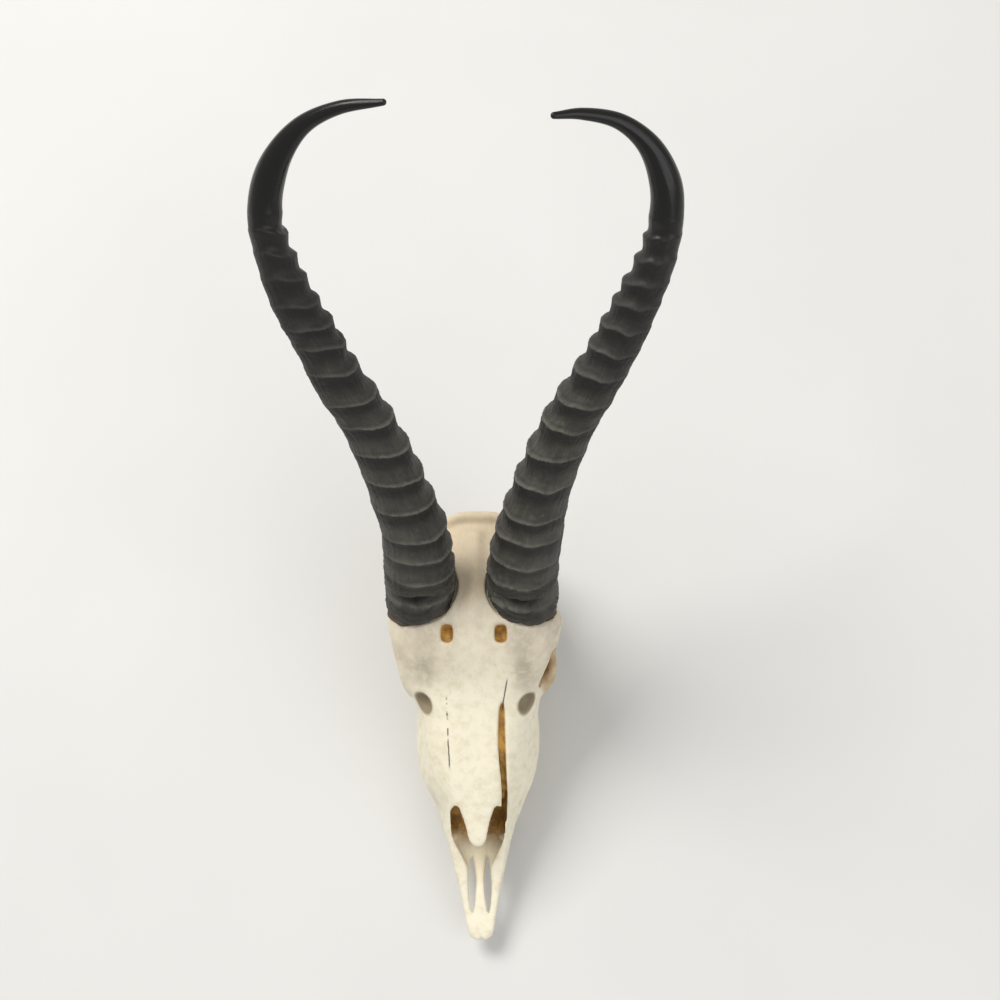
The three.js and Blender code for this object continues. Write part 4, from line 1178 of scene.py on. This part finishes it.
def tooth_material():
    m = Material("enamel_and_dentine")
    place = m.node("ShaderNodeTexCoord", {}, "Object")
    stains = m.noise(place, 300.0, 4.0, 0.6)
    lines = m.noise(m.scaled(place, (1, 1, 0.15)), 900.0, 3.0, 0.6)
    ivory = m.mix(m.ramp(stains, 0.4, 0.7), (0.72, 0.65, 0.48, 1), (0.42, 0.30, 0.15, 1))
    dentine = m.mix(m.ramp(stains, 0.35, 0.7), (0.40, 0.27, 0.13, 1), (0.22, 0.13, 0.06, 1))
    colour = m.mix(m.number("enamel"), dentine, ivory)
    colour = m.mix(m.number("pit"), colour, (0.05, 0.03, 0.015, 1))
    root = m.ramp(m.number("height"), 9.5, 12.5, 0.0, 0.6)
    colour = m.mix(root, colour, (0.36, 0.25, 0.13, 1))
    m.put(m.shader.inputs["Base Color"], colour)
    m.set(Roughness=m.ramp(stains, 0.3, 0.7, 0.26, 0.42))
    m.bump(lines, 0.0002, 0.4)
    return m.data


def floor_material():
    m = Material("pale_floor")
    place = m.node("ShaderNodeTexCoord", {}, "Object")
    cloudy = m.noise(place, 6.0, 3.0, 0.5)
    m.put(m.shader.inputs["Base Color"], m.mix(cloudy, (0.60, 0.60, 0.59, 1), (0.66, 0.66, 0.65, 1)))
    m.shader.inputs["Roughness"].default_value = 0.85
    return m.data


# The pieces

make_cranium(bone_material())
keratin = horn_material()
enamel_and_dentine = tooth_material()
for side_name in SIDES:
    make_horn(side_name, keratin)
    for tooth in CHEEK_TEETH:
        make_tooth(*tooth, side_name, enamel_and_dentine)

# Floor, light and camera

FLOOR_SIZE = 4.0


def make_floor():
    steps = np.linspace(-FLOOR_SIZE, FLOOR_SIZE, 9)
    points = [(x, y, -0.0002) for y in steps for x in steps]
    faces = [(9 * j + i, 9 * j + i + 1, 9 * j + i + 10, 9 * j + i + 9) for j in range(8) for i in range(8)]
    mesh = bpy.data.meshes.new("floor")
    mesh.from_pydata(points, [], faces)
    mesh.materials.append(floor_material())
    floor = bpy.data.objects.new("floor", mesh)
    bpy.context.scene.collection.objects.link(floor)


def soft_light(name, place, target, size, power, colour=(1, 1, 1)):
    light = bpy.data.lights.new(name, "AREA")
    light.shape = "SQUARE"
    light.size = size
    light.energy = power
    light.color = colour
    lamp = bpy.data.objects.new(name, light)
    bpy.context.scene.collection.objects.link(lamp)
    lamp.location = place
    lamp.rotation_euler = (Vector(target) - Vector(place)).to_track_quat("-Z", "Y").to_euler()


make_floor()
MIDDLE = (0, 0, 0.12)
soft_light("key", (-0.8, 0.75, 1.6), MIDDLE, 0.9, 30, (1, 0.98, 0.94))
soft_light("fill", (1.1, -0.8, 1.3), MIDDLE, 1.6, 12, (0.98, 0.99, 1))
world = bpy.data.worlds.new("studio")
bpy.context.scene.world = world
world.use_nodes = True
world.node_tree.nodes["Background"].inputs["Color"].default_value = (1, 0.99, 0.97, 1)
world.node_tree.nodes["Background"].inputs["Strength"].default_value = 0.55
bpy.context.scene.view_settings.view_transform = "Standard"

CAMERA_PLACE = (46.3, -99.1, 1028.7)
CAMERA_RIGHT = (0.9994, 0.0108, -0.0332)
CAMERA_BACK = (0.0349, -0.3088, 0.9505)
LENS = 72


def make_camera():
    data = bpy.data.cameras.new("camera")
    data.lens = LENS
    data.sensor_width = 36
    data.clip_end = 50
    camera = bpy.data.objects.new("camera", data)
    bpy.context.scene.collection.objects.link(camera)
    back = Vector(CAMERA_BACK).normalized()
    up = back.cross(Vector(CAMERA_RIGHT)).normalized()
    turned = Matrix((up.cross(back), up, back)).transposed().to_4x4()
    camera.matrix_world = Matrix.Translation(to_frame(CAMERA_PLACE)) @ turned
    bpy.context.scene.camera = camera


make_camera()
